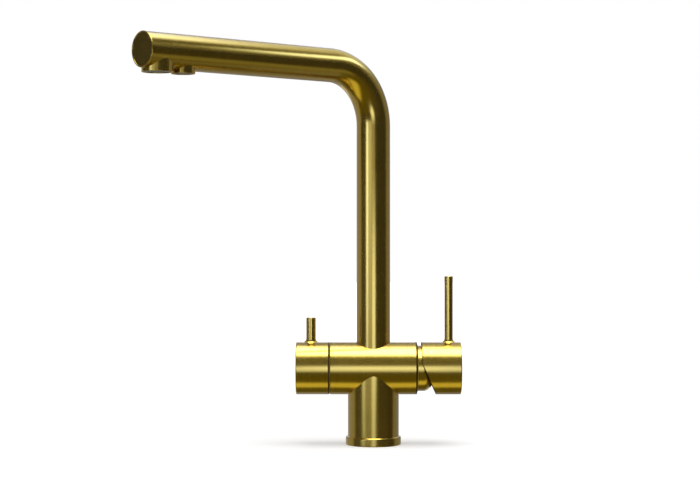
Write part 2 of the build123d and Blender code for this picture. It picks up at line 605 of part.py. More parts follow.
# ======================= Mixer cartridge =======================
FLANGE_TOP = POCKET_FLOOR + CART_FLANGE_T
PLUG_TOP = FLANGE_TOP + CART_PLUG_T
FIXED_LOW = PLUG_TOP + 2 * SEAT
FIXED_TOP = FIXED_LOW + FIXED_DISC_T
MOVING_LOW = FIXED_TOP + SEAT
MOVING_TOP = MOVING_LOW + MOVING_DISC_T
CARRIER_LOW = MOVING_TOP + SEAT
CARRIER_TOP = CARRIER_LOW + CARRIER_T
TURRET_LOW = CARRIER_TOP + CARRIER_BOSS_H - CARRIER_T + 2 * SEAT
TURRET_FLANGE_TOP = TURRET_LOW + TURRET_FLANGE_T
TURRET_TOP = TURRET_FLANGE_TOP + TURRET_L
PLATE_LOW = TURRET_FLANGE_TOP + 4 * SEAT
PLATE_TOP = PLATE_LOW + TOP_PLATE_T
NECK_TOP = PLATE_TOP + NECK_L
NECK_R = TURRET_R + RUN + NECK_WALL
NUT_LIP_LOW = PLATE_TOP + 2 * SEAT
NUT_LIP_TOP = NUT_LIP_LOW + NUT_LIP_T
NUT_BORE_R = NECK_R + FREE
PIN_L = 2 * (TURRET_R - PIN_INSET)
DISC_THROW = STEM_ARM * sin(radians(STEM_TILT))
CART_WAYS = [(CART_WAY_Y, -CART_WAY_DROP), (-CART_WAY_Y, -CART_WAY_DROP)]


def waterways(base_x, depth, radius_in, radius_mix):
    """Cut the two inlets and the mixed outlet through a piece that starts at base_x."""
    with BuildSketch(CROSS_END.offset(base_x)) as ways:
        with Locations(CART_WAYS):
            Circle(radius_in)
        with Locations((0, MIXED_Z_UP)):
            Circle(radius_mix)
    extrude(to_extrude=ways.sketch, amount=depth, mode=Mode.SUBTRACT)


with BuildPart() as cartridge_base:
    with BuildSketch(RIGHT):
        band(POCKET_FLOOR + SEAT, FLANGE_TOP, 0, CART_R)
        band(FLANGE_TOP, PLUG_TOP, 0, CAVITY - 4 * RUN)
    revolve(axis=ABOUT_X)
    waterways(POCKET_FLOOR, CART_FLANGE_T + CART_PLUG_T + 1, WAY_R, MIX_WAY_R)
    waterways(POCKET_FLOOR, SEAL_WIRE, WAY_R + CART_SEAL_LAND + SEAL_WIRE,
              MIX_WAY_R + CART_SEAL_LAND + SEAL_WIRE)
pieces["cartridge_base"] = cartridge_base

with BuildPart() as cartridge_seals:
    with BuildSketch(CROSS_END.offset(POCKET_FLOOR)):
        with Locations(CART_WAYS):
            Circle(WAY_R + CART_SEAL_LAND + SEAL_WIRE - RUN)
            Circle(WAY_R + CART_SEAL_LAND, mode=Mode.SUBTRACT)
        with Locations((0, MIXED_Z_UP)):
            Circle(MIX_WAY_R + CART_SEAL_LAND + SEAL_WIRE - RUN)
            Circle(MIX_WAY_R + CART_SEAL_LAND, mode=Mode.SUBTRACT)
    extrude(amount=SEAL_WIRE - SEAT)
pieces["cartridge_seals"] = cartridge_seals

with BuildPart() as fixed_disc:
    with BuildSketch(RIGHT):
        band(FIXED_LOW, FIXED_TOP, 0, CAVITY - FREE)
    revolve(axis=ABOUT_X)
    waterways(FIXED_LOW, FIXED_DISC_T, WAY_R, MIX_WAY_R)
pieces["fixed_disc"] = fixed_disc

MOVING_R = CAVITY - FREE - DISC_THROW
with BuildPart() as moving_disc:
    with BuildSketch(CROSS_END.offset(MOVING_LOW)):
        with Locations((0, -DISC_THROW)):
            Circle(MOVING_R)
    extrude(amount=MOVING_DISC_T)
    # mixing chamber in the face that slides on the fixed disc
    with BuildSketch(CROSS_END.offset(MOVING_LOW)):
        with Locations((0, MIXED_Z_UP / 2 - DISC_THROW)):
            SlotOverall(MOVING_R * 1.2, MIX_WAY_R * 3)
    extrude(amount=MOVING_DISC_T / 2, mode=Mode.SUBTRACT)
pieces["moving_disc"] = moving_disc

with BuildPart() as disc_carrier:
    with BuildSketch(CROSS_END.offset(CARRIER_LOW)):
        with Locations((0, -DISC_THROW)):
            Circle(MOVING_R - CARRIER_STEP)
    extrude(amount=CARRIER_T)
    with BuildSketch(CROSS_END.offset(CARRIER_LOW)):
        with Locations((0, -DISC_THROW)):
            RectangleRounded(CARRIER_BOSS, CARRIER_BOSS, 0.6)
    extrude(amount=CARRIER_BOSS_H + CARRIER_LIP)
    with BuildSketch(CROSS_END.offset(CARRIER_LOW)):
        with Locations((0, -DISC_THROW)):
            Circle(STEM_BALL_R + FREE)
    extrude(amount=CARRIER_BOSS_H + TURRET_FLANGE_T, mode=Mode.SUBTRACT)
pieces["disc_carrier"] = disc_carrier

STEM_SLOT = 2 * (STEM_W / 2 / cos(radians(STEM_TILT)) + (TURRET_TOP - PIVOT_X) * tan(radians(STEM_TILT)) + FREE)
CARRIER_SLOT = CARRIER_BOSS + 2 * (DISC_THROW + FREE)
TURRET_RING_LOW = PLATE_TOP + TURRET_RING_UP
TURRET_RING = (TURRET_RING_LOW, TURRET_RING_LOW + RING_GROOVE_W)
with BuildPart() as turret:
    with BuildSketch(RIGHT):
        band(TURRET_LOW, TURRET_FLANGE_TOP, 0, CAVITY - FREE)
        band(TURRET_FLANGE_TOP, TURRET_TOP, 0, TURRET_R)
    revolve(axis=ABOUT_X)
    with BuildSketch(CROSS_END.offset(TURRET_LOW)):
        Rectangle(CARRIER_BOSS + 2 * 0.2, CARRIER_SLOT)
    extrude(amount=TURRET_FLANGE_T, mode=Mode.SUBTRACT)
    with BuildSketch(CROSS_END.offset(TURRET_LOW)):
        Rectangle(STEM_W + 2 * FREE, STEM_SLOT)
    extrude(amount=TURRET_TOP - TURRET_LOW, mode=Mode.SUBTRACT)
    with BuildSketch(RIGHT):
        band(*TURRET_RING, TURRET_R - GROOVE_DEPTH, TURRET_R)
    revolve(axis=ABOUT_X, mode=Mode.SUBTRACT)
    drill((PIVOT_X, -TURRET_R, CROSS_Z), (PIVOT_X, TURRET_R, CROSS_Z), PIN_R + RUN / 2)
pieces["turret"] = turret

with BuildPart() as turret_oring:
    with BuildSketch(RIGHT):
        band(TURRET_RING[0] + RUN, TURRET_RING[1] - RUN, TURRET_R - GROOVE_DEPTH + RUN, TURRET_R)
    revolve(axis=ABOUT_X)
pieces["turret_oring"] = turret_oring

with BuildPart() as pivot_pin:
    with BuildSketch(Plane(origin=(PIVOT_X, -PIN_L / 2, CROSS_Z), z_dir=(0, 1, 0))):
        Circle(PIN_R)
    extrude(amount=PIN_L)
    chamfer(pivot_pin.edges().filter_by(GeomType.CIRCLE), 0.3)
pieces["pivot_pin"] = pivot_pin

with BuildPart() as cartridge_housing:
    with BuildSketch(RIGHT):
        band(FLANGE_TOP + SEAT, PLATE_TOP, 0, CART_R)
        band(PLATE_TOP, NECK_TOP, 0, NECK_R)
    revolve(axis=ABOUT_X)
    with BuildSketch(RIGHT):
        band(FLANGE_TOP, PLATE_LOW, 0, CAVITY)
        band(PLATE_LOW, NECK_TOP, 0, TURRET_R + RUN)
    revolve(axis=ABOUT_X, mode=Mode.SUBTRACT)
pieces["cartridge_housing"] = cartridge_housing

with BuildPart() as cartridge_nut:
    with BuildSketch(RIGHT):
        band(BODY_HALF - NUT_THREAD_L + FREE, NUT_LIP_TOP, CART_R + FREE / 2, NUT_R)
        band(NUT_LIP_LOW, NUT_LIP_TOP, NUT_BORE_R, NUT_R)
    revolve(axis=ABOUT_X)
    with BuildSketch(CROSS_END.offset(NUT_LIP_TOP)):
        RegularPolygon(NUT_BORE_R + NUT_HEX_WALL, 6, major_radius=False)
        Circle(NUT_BORE_R, mode=Mode.SUBTRACT)
    extrude(amount=NUT_HEX_L)
pieces["cartridge_nut"] = cartridge_nut

DOME_ARC_R = DOME_R - DOME_ROUND
DOME_ARC_X = BODY_HALF + DOME_STRAIGHT
with BuildPart() as dome_cover:
    with BuildSketch(RIGHT):
        with BuildLine():
            outer_side = Line((BODY_HALF, DOME_R), (DOME_ARC_X, DOME_R))
            outer_arc = CenterArc((DOME_ARC_X, DOME_ARC_R), DOME_ROUND, 0, 90)
            lip = Line((DOME_ARC_X + DOME_ROUND, DOME_ARC_R),
                       (DOME_ARC_X + DOME_ROUND, DOME_ARC_R - DOME_LIP_IN))
            lip_in = Line(lip @ 1, (DOME_ARC_X + DOME_ROUND - DOME_T, DOME_ARC_R - DOME_LIP_IN))
            Line(lip_in @ 1, (DOME_ARC_X + DOME_ROUND - DOME_T, DOME_ARC_R))
            CenterArc((DOME_ARC_X, DOME_ARC_R), DOME_ROUND - DOME_T, 0, 90)
            Line((DOME_ARC_X, DOME_R - DOME_T), (BODY_HALF, DOME_R - DOME_T))
            Line((BODY_HALF, DOME_R - DOME_T), (BODY_HALF, DOME_R))
        make_face()
    revolve(axis=ABOUT_X)
pieces["dome_cover"] = dome_cover

# ======================= Mixer handle =======================
CAP_START = BODY_HALF + HANDLE_GAP
CAP_END = BODY_HALF + HANDLE_END
HUB_START = CAP_END - HANDLE_HUB
LEVER_X = CAP_END - LEVER_FROM_END
LEVER_SEAT = CROSS_R + LEVER_FOOT + LEVER_FOOT_LAND
GRUB_X = HUB_START + GRUB_INTO_HUB

with BuildPart() as stem:
    with BuildSketch(STEM.offset(-STEM_W / 2)):
        with Locations(((STEM_L - STEM_BACK) / 2, 0)):
            Rectangle(STEM_L + STEM_BACK, STEM_W)
    extrude(amount=STEM_W)
    chamfer(stem.faces().sort_by(Axis(STEM.origin, STEM.x_dir))[-1].edges(), 0.6)
    stem_axis = Axis(STEM.origin, STEM.x_dir)
    with BuildSketch(STEM):
        with BuildLine():
            Line((0, 0), (0, STEM_BALL_R * 0.8))
            Line((0, STEM_BALL_R * 0.8), (-STEM_ARM, STEM_BALL_R * 0.8))
            Line((-STEM_ARM, STEM_BALL_R * 0.8), (-STEM_ARM, 0))
            Line((-STEM_ARM, 0), (0, 0))
        make_face()
    revolve(axis=stem_axis)
    with Locations(STEM.from_local_coords((-STEM_ARM, 0, 0))):
        Sphere(STEM_BALL_R)
    drill((PIVOT_X, -STEM_W, CROSS_Z), (PIVOT_X, STEM_W, CROSS_Z), PIN_R + RUN)
pieces["stem"] = stem

with BuildPart() as handle_cap:
    with BuildSketch(RIGHT):
        band(CAP_START, CAP_END, 0, CROSS_R)
    revolve(axis=ABOUT_X)
    fillet(handle_cap.faces().sort_by(Axis.X)[-1].edges(), HANDLE_ROUND)
    # raised foot under the lever, flared into the cap
    with BuildSketch(Plane(origin=(LEVER_X, 0, CROSS_Z), z_dir=(0, 0, 1))):
        Circle(LEVER_R)
    extrude(amount=LEVER_SEAT)
    foot = handle_cap.edges().filter_by(lambda e: abs(e.center().X - LEVER_X) < LEVER_R
                                        and CROSS_Z + CROSS_R - 1 < e.center().Z < CROSS_Z + CROSS_R + 0.1)
    fillet(foot, LEVER_FOOT - 0.1)
    with BuildSketch(RIGHT):
        band(CAP_START, HUB_START, 0, CROSS_R - HANDLE_WALL)
    revolve(axis=ABOUT_X, mode=Mode.SUBTRACT)
    # slanted cut that lets the handle rock up over the body's end
    with BuildSketch(RIGHT.offset(-CROSS_R - 1)):
        with BuildLine():
            low = -CROSS_R - CUT_PAST
            high = CROSS_R + CUT_PAST
            slant = (CUT_TOP_UP - low) * tan(radians(CUT_SLANT))
            edge = FilletPolyline((CAP_START, high), (CAP_START, CUT_TOP_UP),
                                  (CAP_START + slant, low), radius=CUT_ROUND)
            Polyline(edge @ 1, (CAP_START - CUT_PAST, low), (CAP_START - CUT_PAST, high), edge @ 0)
        make_face()
    extrude(amount=2 * CROSS_R + 2, mode=Mode.SUBTRACT)
    # square socket for the stem, on the stem's own slant
    with BuildSketch(STEM.offset(-STEM_W / 2 - RUN)):
        with Locations((STEM_L / 2 + 0.1, 0)):
            Rectangle(STEM_L + 0.2, STEM_W + 2 * RUN)
    extrude(amount=STEM_W + 2 * RUN, mode=Mode.SUBTRACT)
    drill((LEVER_X, 0, CROSS_Z + LEVER_SEAT), (LEVER_X, 0, CROSS_Z + LEVER_SEAT - LEVER_SCREW_L - FREE),
          LEVER_SCREW_R + RUN)
    drill((GRUB_X, 0, CROSS_Z - CROSS_R - 1), (GRUB_X, 0, CROSS_Z + 1), GRUB_R + RUN)
    drill((GRUB_X, 0, CROSS_Z - CROSS_R - 1), (GRUB_X, 0, CROSS_Z - CROSS_R + PLUG_T + SEAT), PLUG_R + RUN)
pieces["handle_cap"] = handle_cap


def lever(at_x, radius, top, seat, screw_l):
    """Make a plain round lever that screws into its foot."""
    with BuildPart() as rod:
        with BuildSketch(Plane(origin=(at_x, 0, CROSS_Z + seat), z_dir=(0, 0, 1))):
            Circle(radius)
        extrude(amount=top - seat)
        fillet(rod.edges().filter_by(GeomType.CIRCLE).sort_by(Axis.Z)[-1], 0.6)
        with BuildSketch(Plane(origin=(at_x, 0, CROSS_Z + seat), z_dir=(0, 0, 1))):
            Circle(LEVER_SCREW_R)
        extrude(amount=-screw_l)
    return rod


def grub(at_x, tip_z):
    """Make a cone-pointed grub screw that stands under tip_z and is turned from below."""
    with BuildPart() as screw:
        with BuildSketch(Plane(origin=(at_x, 0, CROSS_Z), x_dir=(1, 0, 0), z_dir=(0, -1, 0))):
            with BuildLine():
                Polyline((0, tip_z), (GRUB_R / 2, tip_z), (GRUB_R, tip_z - GRUB_R / 2),
                         (GRUB_R, tip_z - GRUB_L), (0, tip_z - GRUB_L), (0, tip_z))
            make_face()
        revolve(axis=Axis((at_x, 0, 0), (0, 0, 1)))
        key_socket(Plane(origin=(at_x, 0, CROSS_Z + tip_z - GRUB_L), z_dir=(0, 0, -1)), HEX_KEY, 2.5)
    return screw


def plug(at_x):
    """Make the plug that hides a grub screw, flush with the round it sits in."""
    with BuildPart() as cover:
        with BuildSketch(Plane(origin=(at_x, 0, CROSS_Z - CROSS_R - 1), z_dir=(0, 0, 1))):
            Circle(PLUG_R)
        extrude(amount=PLUG_T + 1)
        with BuildSketch(CROSS_END.offset(at_x - 2 * PLUG_R)):
            Circle(CROSS_R)
        extrude(amount=4 * PLUG_R, mode=Mode.INTERSECT)
    return cover


STEM_UNDER = (GRUB_X - PIVOT_X) * tan(radians(STEM_TILT)) - STEM_W / 2 / cos(radians(STEM_TILT))
pieces["handle_lever"] = lever(LEVER_X, LEVER_R, LEVER_TOP, LEVER_SEAT, LEVER_SCREW_L)
pieces["handle_grub"] = grub(GRUB_X, STEM_UNDER - GRUB_R / 2 * tan(radians(STEM_TILT)) - RUN)
pieces["handle_plug"] = plug(GRUB_X)

# ======================= Filter valve =======================
SEAL_TOP = POCKET_FLOOR + LIP_SEAL_T
DISC_TOP = SEAL_TOP + VALVE_DISC_T
TURN_DISC_LOW = DISC_TOP + SEAT
TURN_DISC_TOP = TURN_DISC_LOW + VALVE_DISC_T
SPINDLE_LOW = TURN_DISC_TOP + SEAT
SPINDLE_FLANGE_TOP = SPINDLE_LOW + SPINDLE_FLANGE_T
HEAD_BORE_R = VALVE_DISC_R + FREE
HEAD_FLOOR = SPINDLE_FLANGE_TOP + 4 * SEAT
THREAD_LOW = MOUTH_V - HEAD_THREAD_L
SHOULDER_LOW = MOUTH_V + GASKET_T
SHOULDER_TOP = SHOULDER_LOW + HEAD_SHOULDER_T
HEX_TOP = SHOULDER_TOP + HEAD_HEX_L
HEAD_TOP = HEX_TOP + HEAD_NECK_L
KNOB_START = BODY_HALF + KNOB_GAP
KNOB_END = KNOB_START + KNOB_L
KNOB_HUB_V = KNOB_END - KNOB_HUB
SPINDLE_END = KNOB_HUB_V + KNOB_GRIP
SPINDLE_RING = (HEX_TOP - SPINDLE_RING_IN, HEX_TOP - SPINDLE_RING_IN + RING_GROOVE_W)

with BuildPart() as valve_lip_seal:
    with BuildSketch(LEFT):
        band(POCKET_FLOOR, SEAL_TOP - SEAT, WAY_R + 2.4, VALVE_DISC_R - 0.5)
    revolve(axis=ABOUT_X)
pieces["valve_lip_seal"] = valve_lip_seal


def valve_disc(low, high, turn):
    """Make one ceramic disc of the quarter-turn pair, with its two kidney-shaped ways."""
    with BuildPart() as disc:
        with BuildSketch(LEFT):
            band(low, high, 0, VALVE_DISC_R)
        revolve(axis=ABOUT_X)
        with BuildSketch(Plane(origin=(-low, 0, CROSS_Z), x_dir=(0, 1, 0), z_dir=(-1, 0, 0))):
            SlotArc(CenterArc((0, 0), VALVE_WAY_AT, turn - 35, 70), 2 * WAY_R * 0.8)
            SlotArc(CenterArc((0, 0), VALVE_WAY_AT, turn + 145, 70), 2 * WAY_R * 0.8)
        extrude(amount=high - low, mode=Mode.SUBTRACT)
    return disc


pieces["valve_fixed_disc"] = valve_disc(SEAL_TOP, DISC_TOP, 0)
pieces["valve_turning_disc"] = valve_disc(TURN_DISC_LOW, TURN_DISC_TOP, 90)

with BuildPart() as valve_head:
    with BuildSketch(LEFT):
        band(SEAL_TOP, THREAD_LOW, 0, HEAD_SKIRT_R)
        band(THREAD_LOW, SHOULDER_LOW, 0, HEAD_R)
        band(SHOULDER_LOW, SHOULDER_TOP, 0, HEAD_SHOULDER_R)
        band(SHOULDER_TOP, HEAD_TOP, 0, HEAD_NECK_R)
    revolve(axis=ABOUT_X)
    with BuildSketch(Plane(origin=(-SHOULDER_TOP, 0, CROSS_Z), x_dir=(0, 1, 0), z_dir=(-1, 0, 0))):
        RegularPolygon(HEAD_HEX / 2, 6, major_radius=False)
    extrude(amount=HEAD_HEX_L)
    with BuildSketch(LEFT):
        band(SEAL_TOP, HEAD_FLOOR, 0, HEAD_BORE_R)
        band(HEAD_FLOOR, HEAD_TOP, 0, SPINDLE_R + RUN)
    revolve(axis=ABOUT_X, mode=Mode.SUBTRACT)
    # windows that let the water in from the chamber
    for step in range(4):
        turn = radians(45 + 90 * step)
        out = Vector(0, cos(turn), sin(turn))
        drill(Vector(-TURN_DISC_TOP, 0, CROSS_Z) + out * (HEAD_SKIRT_R + 1),
              Vector(-TURN_DISC_TOP, 0, CROSS_Z) + out * (HEAD_BORE_R - 1), WINDOW_R)
pieces["valve_head"] = valve_head

with BuildPart() as valve_gasket:
    with BuildSketch(LEFT):
        band(MOUTH_V, SHOULDER_LOW - SEAT, CHAMBER_R + RUN, HEAD_SHOULDER_R)
    revolve(axis=ABOUT_X)
pieces["valve_gasket"] = valve_gasket

with BuildPart() as valve_spindle:
    with BuildSketch(LEFT):
        band(SPINDLE_LOW, SPINDLE_FLANGE_TOP, 0, VALVE_DISC_R)
        band(SPINDLE_FLANGE_TOP, SPINDLE_END, 0, SPINDLE_R)
    revolve(axis=ABOUT_X)
    with BuildSketch(LEFT):
        band(*SPINDLE_RING, SPINDLE_R - SPINDLE_RING_DEPTH, SPINDLE_R)
    revolve(axis=ABOUT_X, mode=Mode.SUBTRACT)
    # flat that the knob's grub screw bears on
    with BuildSketch(LEFT.offset(-SPINDLE_R)):
        band(KNOB_HUB_V, SPINDLE_END, -SPINDLE_R, -SPINDLE_R + SPINDLE_FLAT)
    extrude(amount=2 * SPINDLE_R, mode=Mode.SUBTRACT)
pieces["valve_spindle"] = valve_spindle

with BuildPart() as spindle_oring:
    with BuildSketch(LEFT):
        band(SPINDLE_RING[0] + RUN, SPINDLE_RING[1] - RUN, SPINDLE_R - SPINDLE_RING_DEPTH + RUN, SPINDLE_R)
    revolve(axis=ABOUT_X)
pieces["spindle_oring"] = spindle_oring

FILTER_LEVER_V = KNOB_END - FILTER_LEVER_FROM_END
FILTER_LEVER_SEAT = CROSS_R + FILTER_LEVER_FOOT + LEVER_FOOT_LAND
KNOB_GRUB_V = KNOB_HUB_V + KNOB_GRIP / 2
with BuildPart() as filter_knob:
    with BuildSketch(LEFT):
        band(KNOB_START, KNOB_END, 0, CROSS_R)
    revolve(axis=ABOUT_X)
    chamfer(filter_knob.faces().sort_by(Axis.X)[-1].edges(), EDGE)
    fillet(filter_knob.faces().sort_by(Axis.X)[0].edges(), KNOB_ROUND)
    with BuildSketch(Plane(origin=(-FILTER_LEVER_V, 0, CROSS_Z), z_dir=(0, 0, 1))):
        Circle(FILTER_LEVER_R)
    extrude(amount=FILTER_LEVER_SEAT)
    foot = filter_knob.edges().filter_by(lambda e: abs(e.center().X + FILTER_LEVER_V) < FILTER_LEVER_R
                                         and CROSS_Z + CROSS_R - 1 < e.center().Z < CROSS_Z + CROSS_R + 0.1)
    fillet(foot, FILTER_LEVER_FOOT - 0.1)
    with BuildSketch(LEFT):
        band(KNOB_START, KNOB_HUB_V, 0, CROSS_R - KNOB_WALL)
        band(KNOB_HUB_V, SPINDLE_END + SEAT, 0, SPINDLE_R + RUN)
    revolve(axis=ABOUT_X, mode=Mode.SUBTRACT)
    drill((-FILTER_LEVER_V, 0, CROSS_Z + FILTER_LEVER_SEAT),
          (-FILTER_LEVER_V, 0, CROSS_Z + FILTER_LEVER_SEAT - LEVER_SCREW_L - FREE), LEVER_SCREW_R + RUN)
    drill((-KNOB_GRUB_V, 0, CROSS_Z - CROSS_R - 1), (-KNOB_GRUB_V, 0, CROSS_Z), GRUB_R + RUN)
    drill((-KNOB_GRUB_V, 0, CROSS_Z - CROSS_R - 1),
          (-KNOB_GRUB_V, 0, CROSS_Z - CROSS_R + PLUG_T + SEAT), PLUG_R + RUN)
pieces["filter_knob"] = filter_knob
pieces["filter_lever"] = lever(-FILTER_LEVER_V, FILTER_LEVER_R, FILTER_LEVER_TOP, FILTER_LEVER_SEAT,
                               LEVER_SCREW_L)
pieces["knob_grub"] = grub(-KNOB_GRUB_V, -SPINDLE_R + SPINDLE_FLAT - RUN)
pieces["knob_plug"] = plug(-KNOB_GRUB_V)

# ======================= Write the pieces =======================
for name, piece in pieces.items():
    piece.part.label = name
    export_step(piece.part, f"parts/{name}.step")
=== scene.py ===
"""Looks of a three way filtered water tap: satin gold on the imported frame, in a white studio."""

import json
import logging
from dataclasses import dataclass, field, replace
from enum import Enum
from math import cos, pi, radians, sin, sqrt, tan, tau
from typing import Callable, Sequence, Union

import bpy
from mathutils import Matrix, Vector


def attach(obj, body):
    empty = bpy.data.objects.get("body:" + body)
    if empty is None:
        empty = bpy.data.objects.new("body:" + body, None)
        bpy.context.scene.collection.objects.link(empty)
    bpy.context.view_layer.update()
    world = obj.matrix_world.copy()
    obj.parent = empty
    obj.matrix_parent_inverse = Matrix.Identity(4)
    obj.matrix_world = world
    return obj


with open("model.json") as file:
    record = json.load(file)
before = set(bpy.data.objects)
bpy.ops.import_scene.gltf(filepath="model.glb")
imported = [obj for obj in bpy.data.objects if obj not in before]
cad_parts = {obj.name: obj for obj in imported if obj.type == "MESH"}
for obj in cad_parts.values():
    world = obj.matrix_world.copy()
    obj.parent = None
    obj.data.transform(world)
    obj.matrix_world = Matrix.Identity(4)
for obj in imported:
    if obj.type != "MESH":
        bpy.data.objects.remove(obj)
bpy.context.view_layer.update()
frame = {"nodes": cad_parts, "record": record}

LOG = logging.getLogger("tap")
MM = 0.001
SLOT_OF = {row["node"]: row["material_slot"] for row in frame["record"]["subparts"]}
BODIES = frame["record"]["behaviour"]["bodies"]

Number = Union[float, int, "Value"]
Colour = tuple[float, float, float]
Point = tuple[float, float, float]
Fade = tuple[float, float, float, float]

ORIGIN: Point = (0.0, 0.0, 0.0)
UPRIGHT: Point = (0.0, 0.0, 1.0)
ACROSS: Point = (1.0, 0.0, 0.0)
WHITE: Colour = (1.0, 1.0, 1.0)


# ====== Shader maths ======
class Graph:
    """The nodes of one material or of the world."""

    def __init__(self, tree: bpy.types.NodeTree) -> None:
        """Take over a node tree and empty it."""
        self.tree = tree
        tree.nodes.clear()

    def node(self, kind: str, settings: dict | None = None,
             inputs: dict | None = None) -> bpy.types.Node:
        """Add one node.

        Args:
            kind: the node's type name.
            settings: its own settings, set before its sockets.
            inputs: a number, colour, socket or Value for each socket name or index.

        Returns:
            The new node.
        """
        made = self.tree.nodes.new(kind)
        for key, setting in (settings or {}).items():
            setattr(made, key, setting)
        for key, given in (inputs or {}).items():
            source = given.socket if isinstance(given, Value) else given
            if isinstance(source, bpy.types.NodeSocket):
                self.tree.links.new(source, made.inputs[key])
            else:
                made.inputs[key].default_value = source
        return made

    def value(self, socket: bpy.types.NodeSocket) -> "Value":
        """Wrap a socket for use in expressions."""
        return Value(self, socket)

    def vector(self, operation: str, *terms: object, out: str = "Vector") -> bpy.types.NodeSocket:
        """Add one Vector Math node for an operation on its terms."""
        settings = {"operation": operation}
        return self.node("ShaderNodeVectorMath", settings, dict(enumerate(terms))).outputs[out]

    def dot(self, first: object, second: object) -> "Value":
        """Give the dot product of two vectors."""
        return self.value(self.vector("DOT_PRODUCT", first, second, out="Value"))

    def length(self, vector: object) -> "Value":
        """Give a vector's length."""
        return self.value(self.vector("LENGTH", vector, out="Value"))

    def parts(self, vector: object) -> tuple["Value", "Value", "Value"]:
        """Split a vector into its three numbers."""
        made = self.node("ShaderNodeSeparateXYZ", inputs={0: vector})
        return tuple(self.value(out) for out in made.outputs)

    def blend(self, factor: Number, first: object, second: object) -> bpy.types.NodeSocket:
        """Mix two colours.

        Args:
            factor: 0 gives the first and 1 the second.
            first: a colour or a colour socket.
            second: a colour or a colour socket.

        Returns:
            The mixed colour's socket.
        """
        ends = [(*end, 1.0) if isinstance(end, tuple) else end for end in (first, second)]
        sockets = {0: factor, 6: ends[0], 7: ends[1]}
        return self.node("ShaderNodeMix", {"data_type": "RGBA"}, sockets).outputs[2]

    def noise(self, vector: object, scale: float, detail: float, rough: float = 0.5) -> "Value":
        """Give smooth noise from 0 to 1.

        Args:
            vector: where it is read.
            scale: cells for each metre of the vector.
            detail: how many finer layers are added.
            rough: how strong the finer layers are.

        Returns:
            The noise.
        """
        made = self.node("ShaderNodeTexNoise", {"noise_dimensions": "3D"},
                         {"Vector": vector, "Scale": scale, "Detail": detail, "Roughness": rough})
        return self.value(made.outputs[0])

    def lines(self, drift: object, measure: "Value", detail: float, rough: float) -> "Value":
        """Give lines that lie side by side along a measure and change slowly on their way.

        Args:
            drift: the slow change, a point scaled down to it.
            measure: one line's width for each whole number.
            detail: how many finer lines are added.
            rough: how strong the finer lines are.

        Returns:
            The lines, from 0 to 1.
        """
        fast = self.node("ShaderNodeCombineXYZ", inputs={0: measure}).outputs[0]
        return self.noise(self.vector("ADD", drift, fast), 1.0, detail, rough)

    def bump(self, height: "Value", distance: float) -> bpy.types.NodeSocket:
        """Turn a height from 0 to 1 into a normal; distance is the full height in metres."""
        sockets = {"Strength": 1.0, "Distance": distance, "Height": height}
        return self.node("ShaderNodeBump", inputs=sockets).outputs[0]


class Value:
    """A number that varies over a surface; sums on it add their Math nodes."""

    def __init__(self, graph: Graph, socket: bpy.types.NodeSocket) -> None:
        """Hold a socket and the graph that it belongs to."""
        self.graph = graph
        self.socket = socket

    def _maths(self, operation: str, *terms: Number) -> "Value":
        """Add one Math node for an operation on its terms."""
        made = self.graph.node("ShaderNodeMath", {"operation": operation}, dict(enumerate(terms)))
        return Value(self.graph, made.outputs[0])

    def __add__(self, other: Number) -> "Value":
        """Give self + other."""
        return self._maths("ADD", self, other)

    __radd__ = __add__

    def __sub__(self, other: Number) -> "Value":
        """Give self - other."""
        return self._maths("SUBTRACT", self, other)

    def __rsub__(self, other: Number) -> "Value":
        """Give other - self."""
        return self._maths("SUBTRACT", other, self)

    def __mul__(self, other: Number) -> "Value":
        """Give self times other."""
        return self._maths("MULTIPLY", self, other)

    __rmul__ = __mul__

    def __truediv__(self, other: Number) -> "Value":
        """Give self over other."""
        return self._maths("DIVIDE", self, other)

    def __abs__(self) -> "Value":
        """Give the size without its sign."""
        return self._maths("ABSOLUTE", self)

    def over(self, limit: float) -> "Value":
        """Give 1 where this is over the limit, and 0 elsewhere."""
        return self._maths("GREATER_THAN", self, limit)

    def least(self, other: Number) -> "Value":
        """Give the smaller of the two."""
        return self._maths("MINIMUM", self, other)

    def most(self, other: Number) -> "Value":
        """Give the larger of the two."""
        return self._maths("MAXIMUM", self, other)

    def angle_from(self, other: "Value") -> "Value":
        """Give the angle, in radians, whose sine side is this and whose cosine side is other."""
        return self._maths("ARCTAN2", self, other)

    def root(self) -> "Value":
        """Give the square root."""
        return self._maths("SQRT", self)

    def step(self, low: float, high: float) -> "Value":
        """Rise smoothly from 0 at low to 1 at high."""
        sockets = {0: self, 1: low, 2: high, 3: 0.0, 4: 1.0}
        made = self.graph.node("ShaderNodeMapRange", {"interpolation_type": "SMOOTHSTEP"}, sockets)
        return Value(self.graph, made.outputs[0])

    def within(self, low: float, high: float, soft: float) -> "Value":
        """Give 1 between low and high, with edges that fade over soft."""
        half = soft / 2
        return self.hump((low - half, low + half, high - half, high + half))

    def hump(self, fade: Fade) -> "Value":
        """Rise from 0 to 1 over the first two places, and fall over the last two."""
        return self.step(*fade[:2]) * (1 - self.step(*fade[2:]))


def shader_material(name: str,
                    build: Callable[[Graph], bpy.types.NodeSocket]) -> bpy.types.Material:
    """Make a material from a function that returns its surface shader.

    Args:
        name: the material's name.
        build: fills a graph and returns the shader's socket.

    Returns:
        The material.
    """
    material = bpy.data.materials.new(name)
    material.use_nodes = True
    graph = Graph(material.node_tree)
    graph.node("ShaderNodeOutputMaterial", inputs={"Surface": build(graph)})
    return material


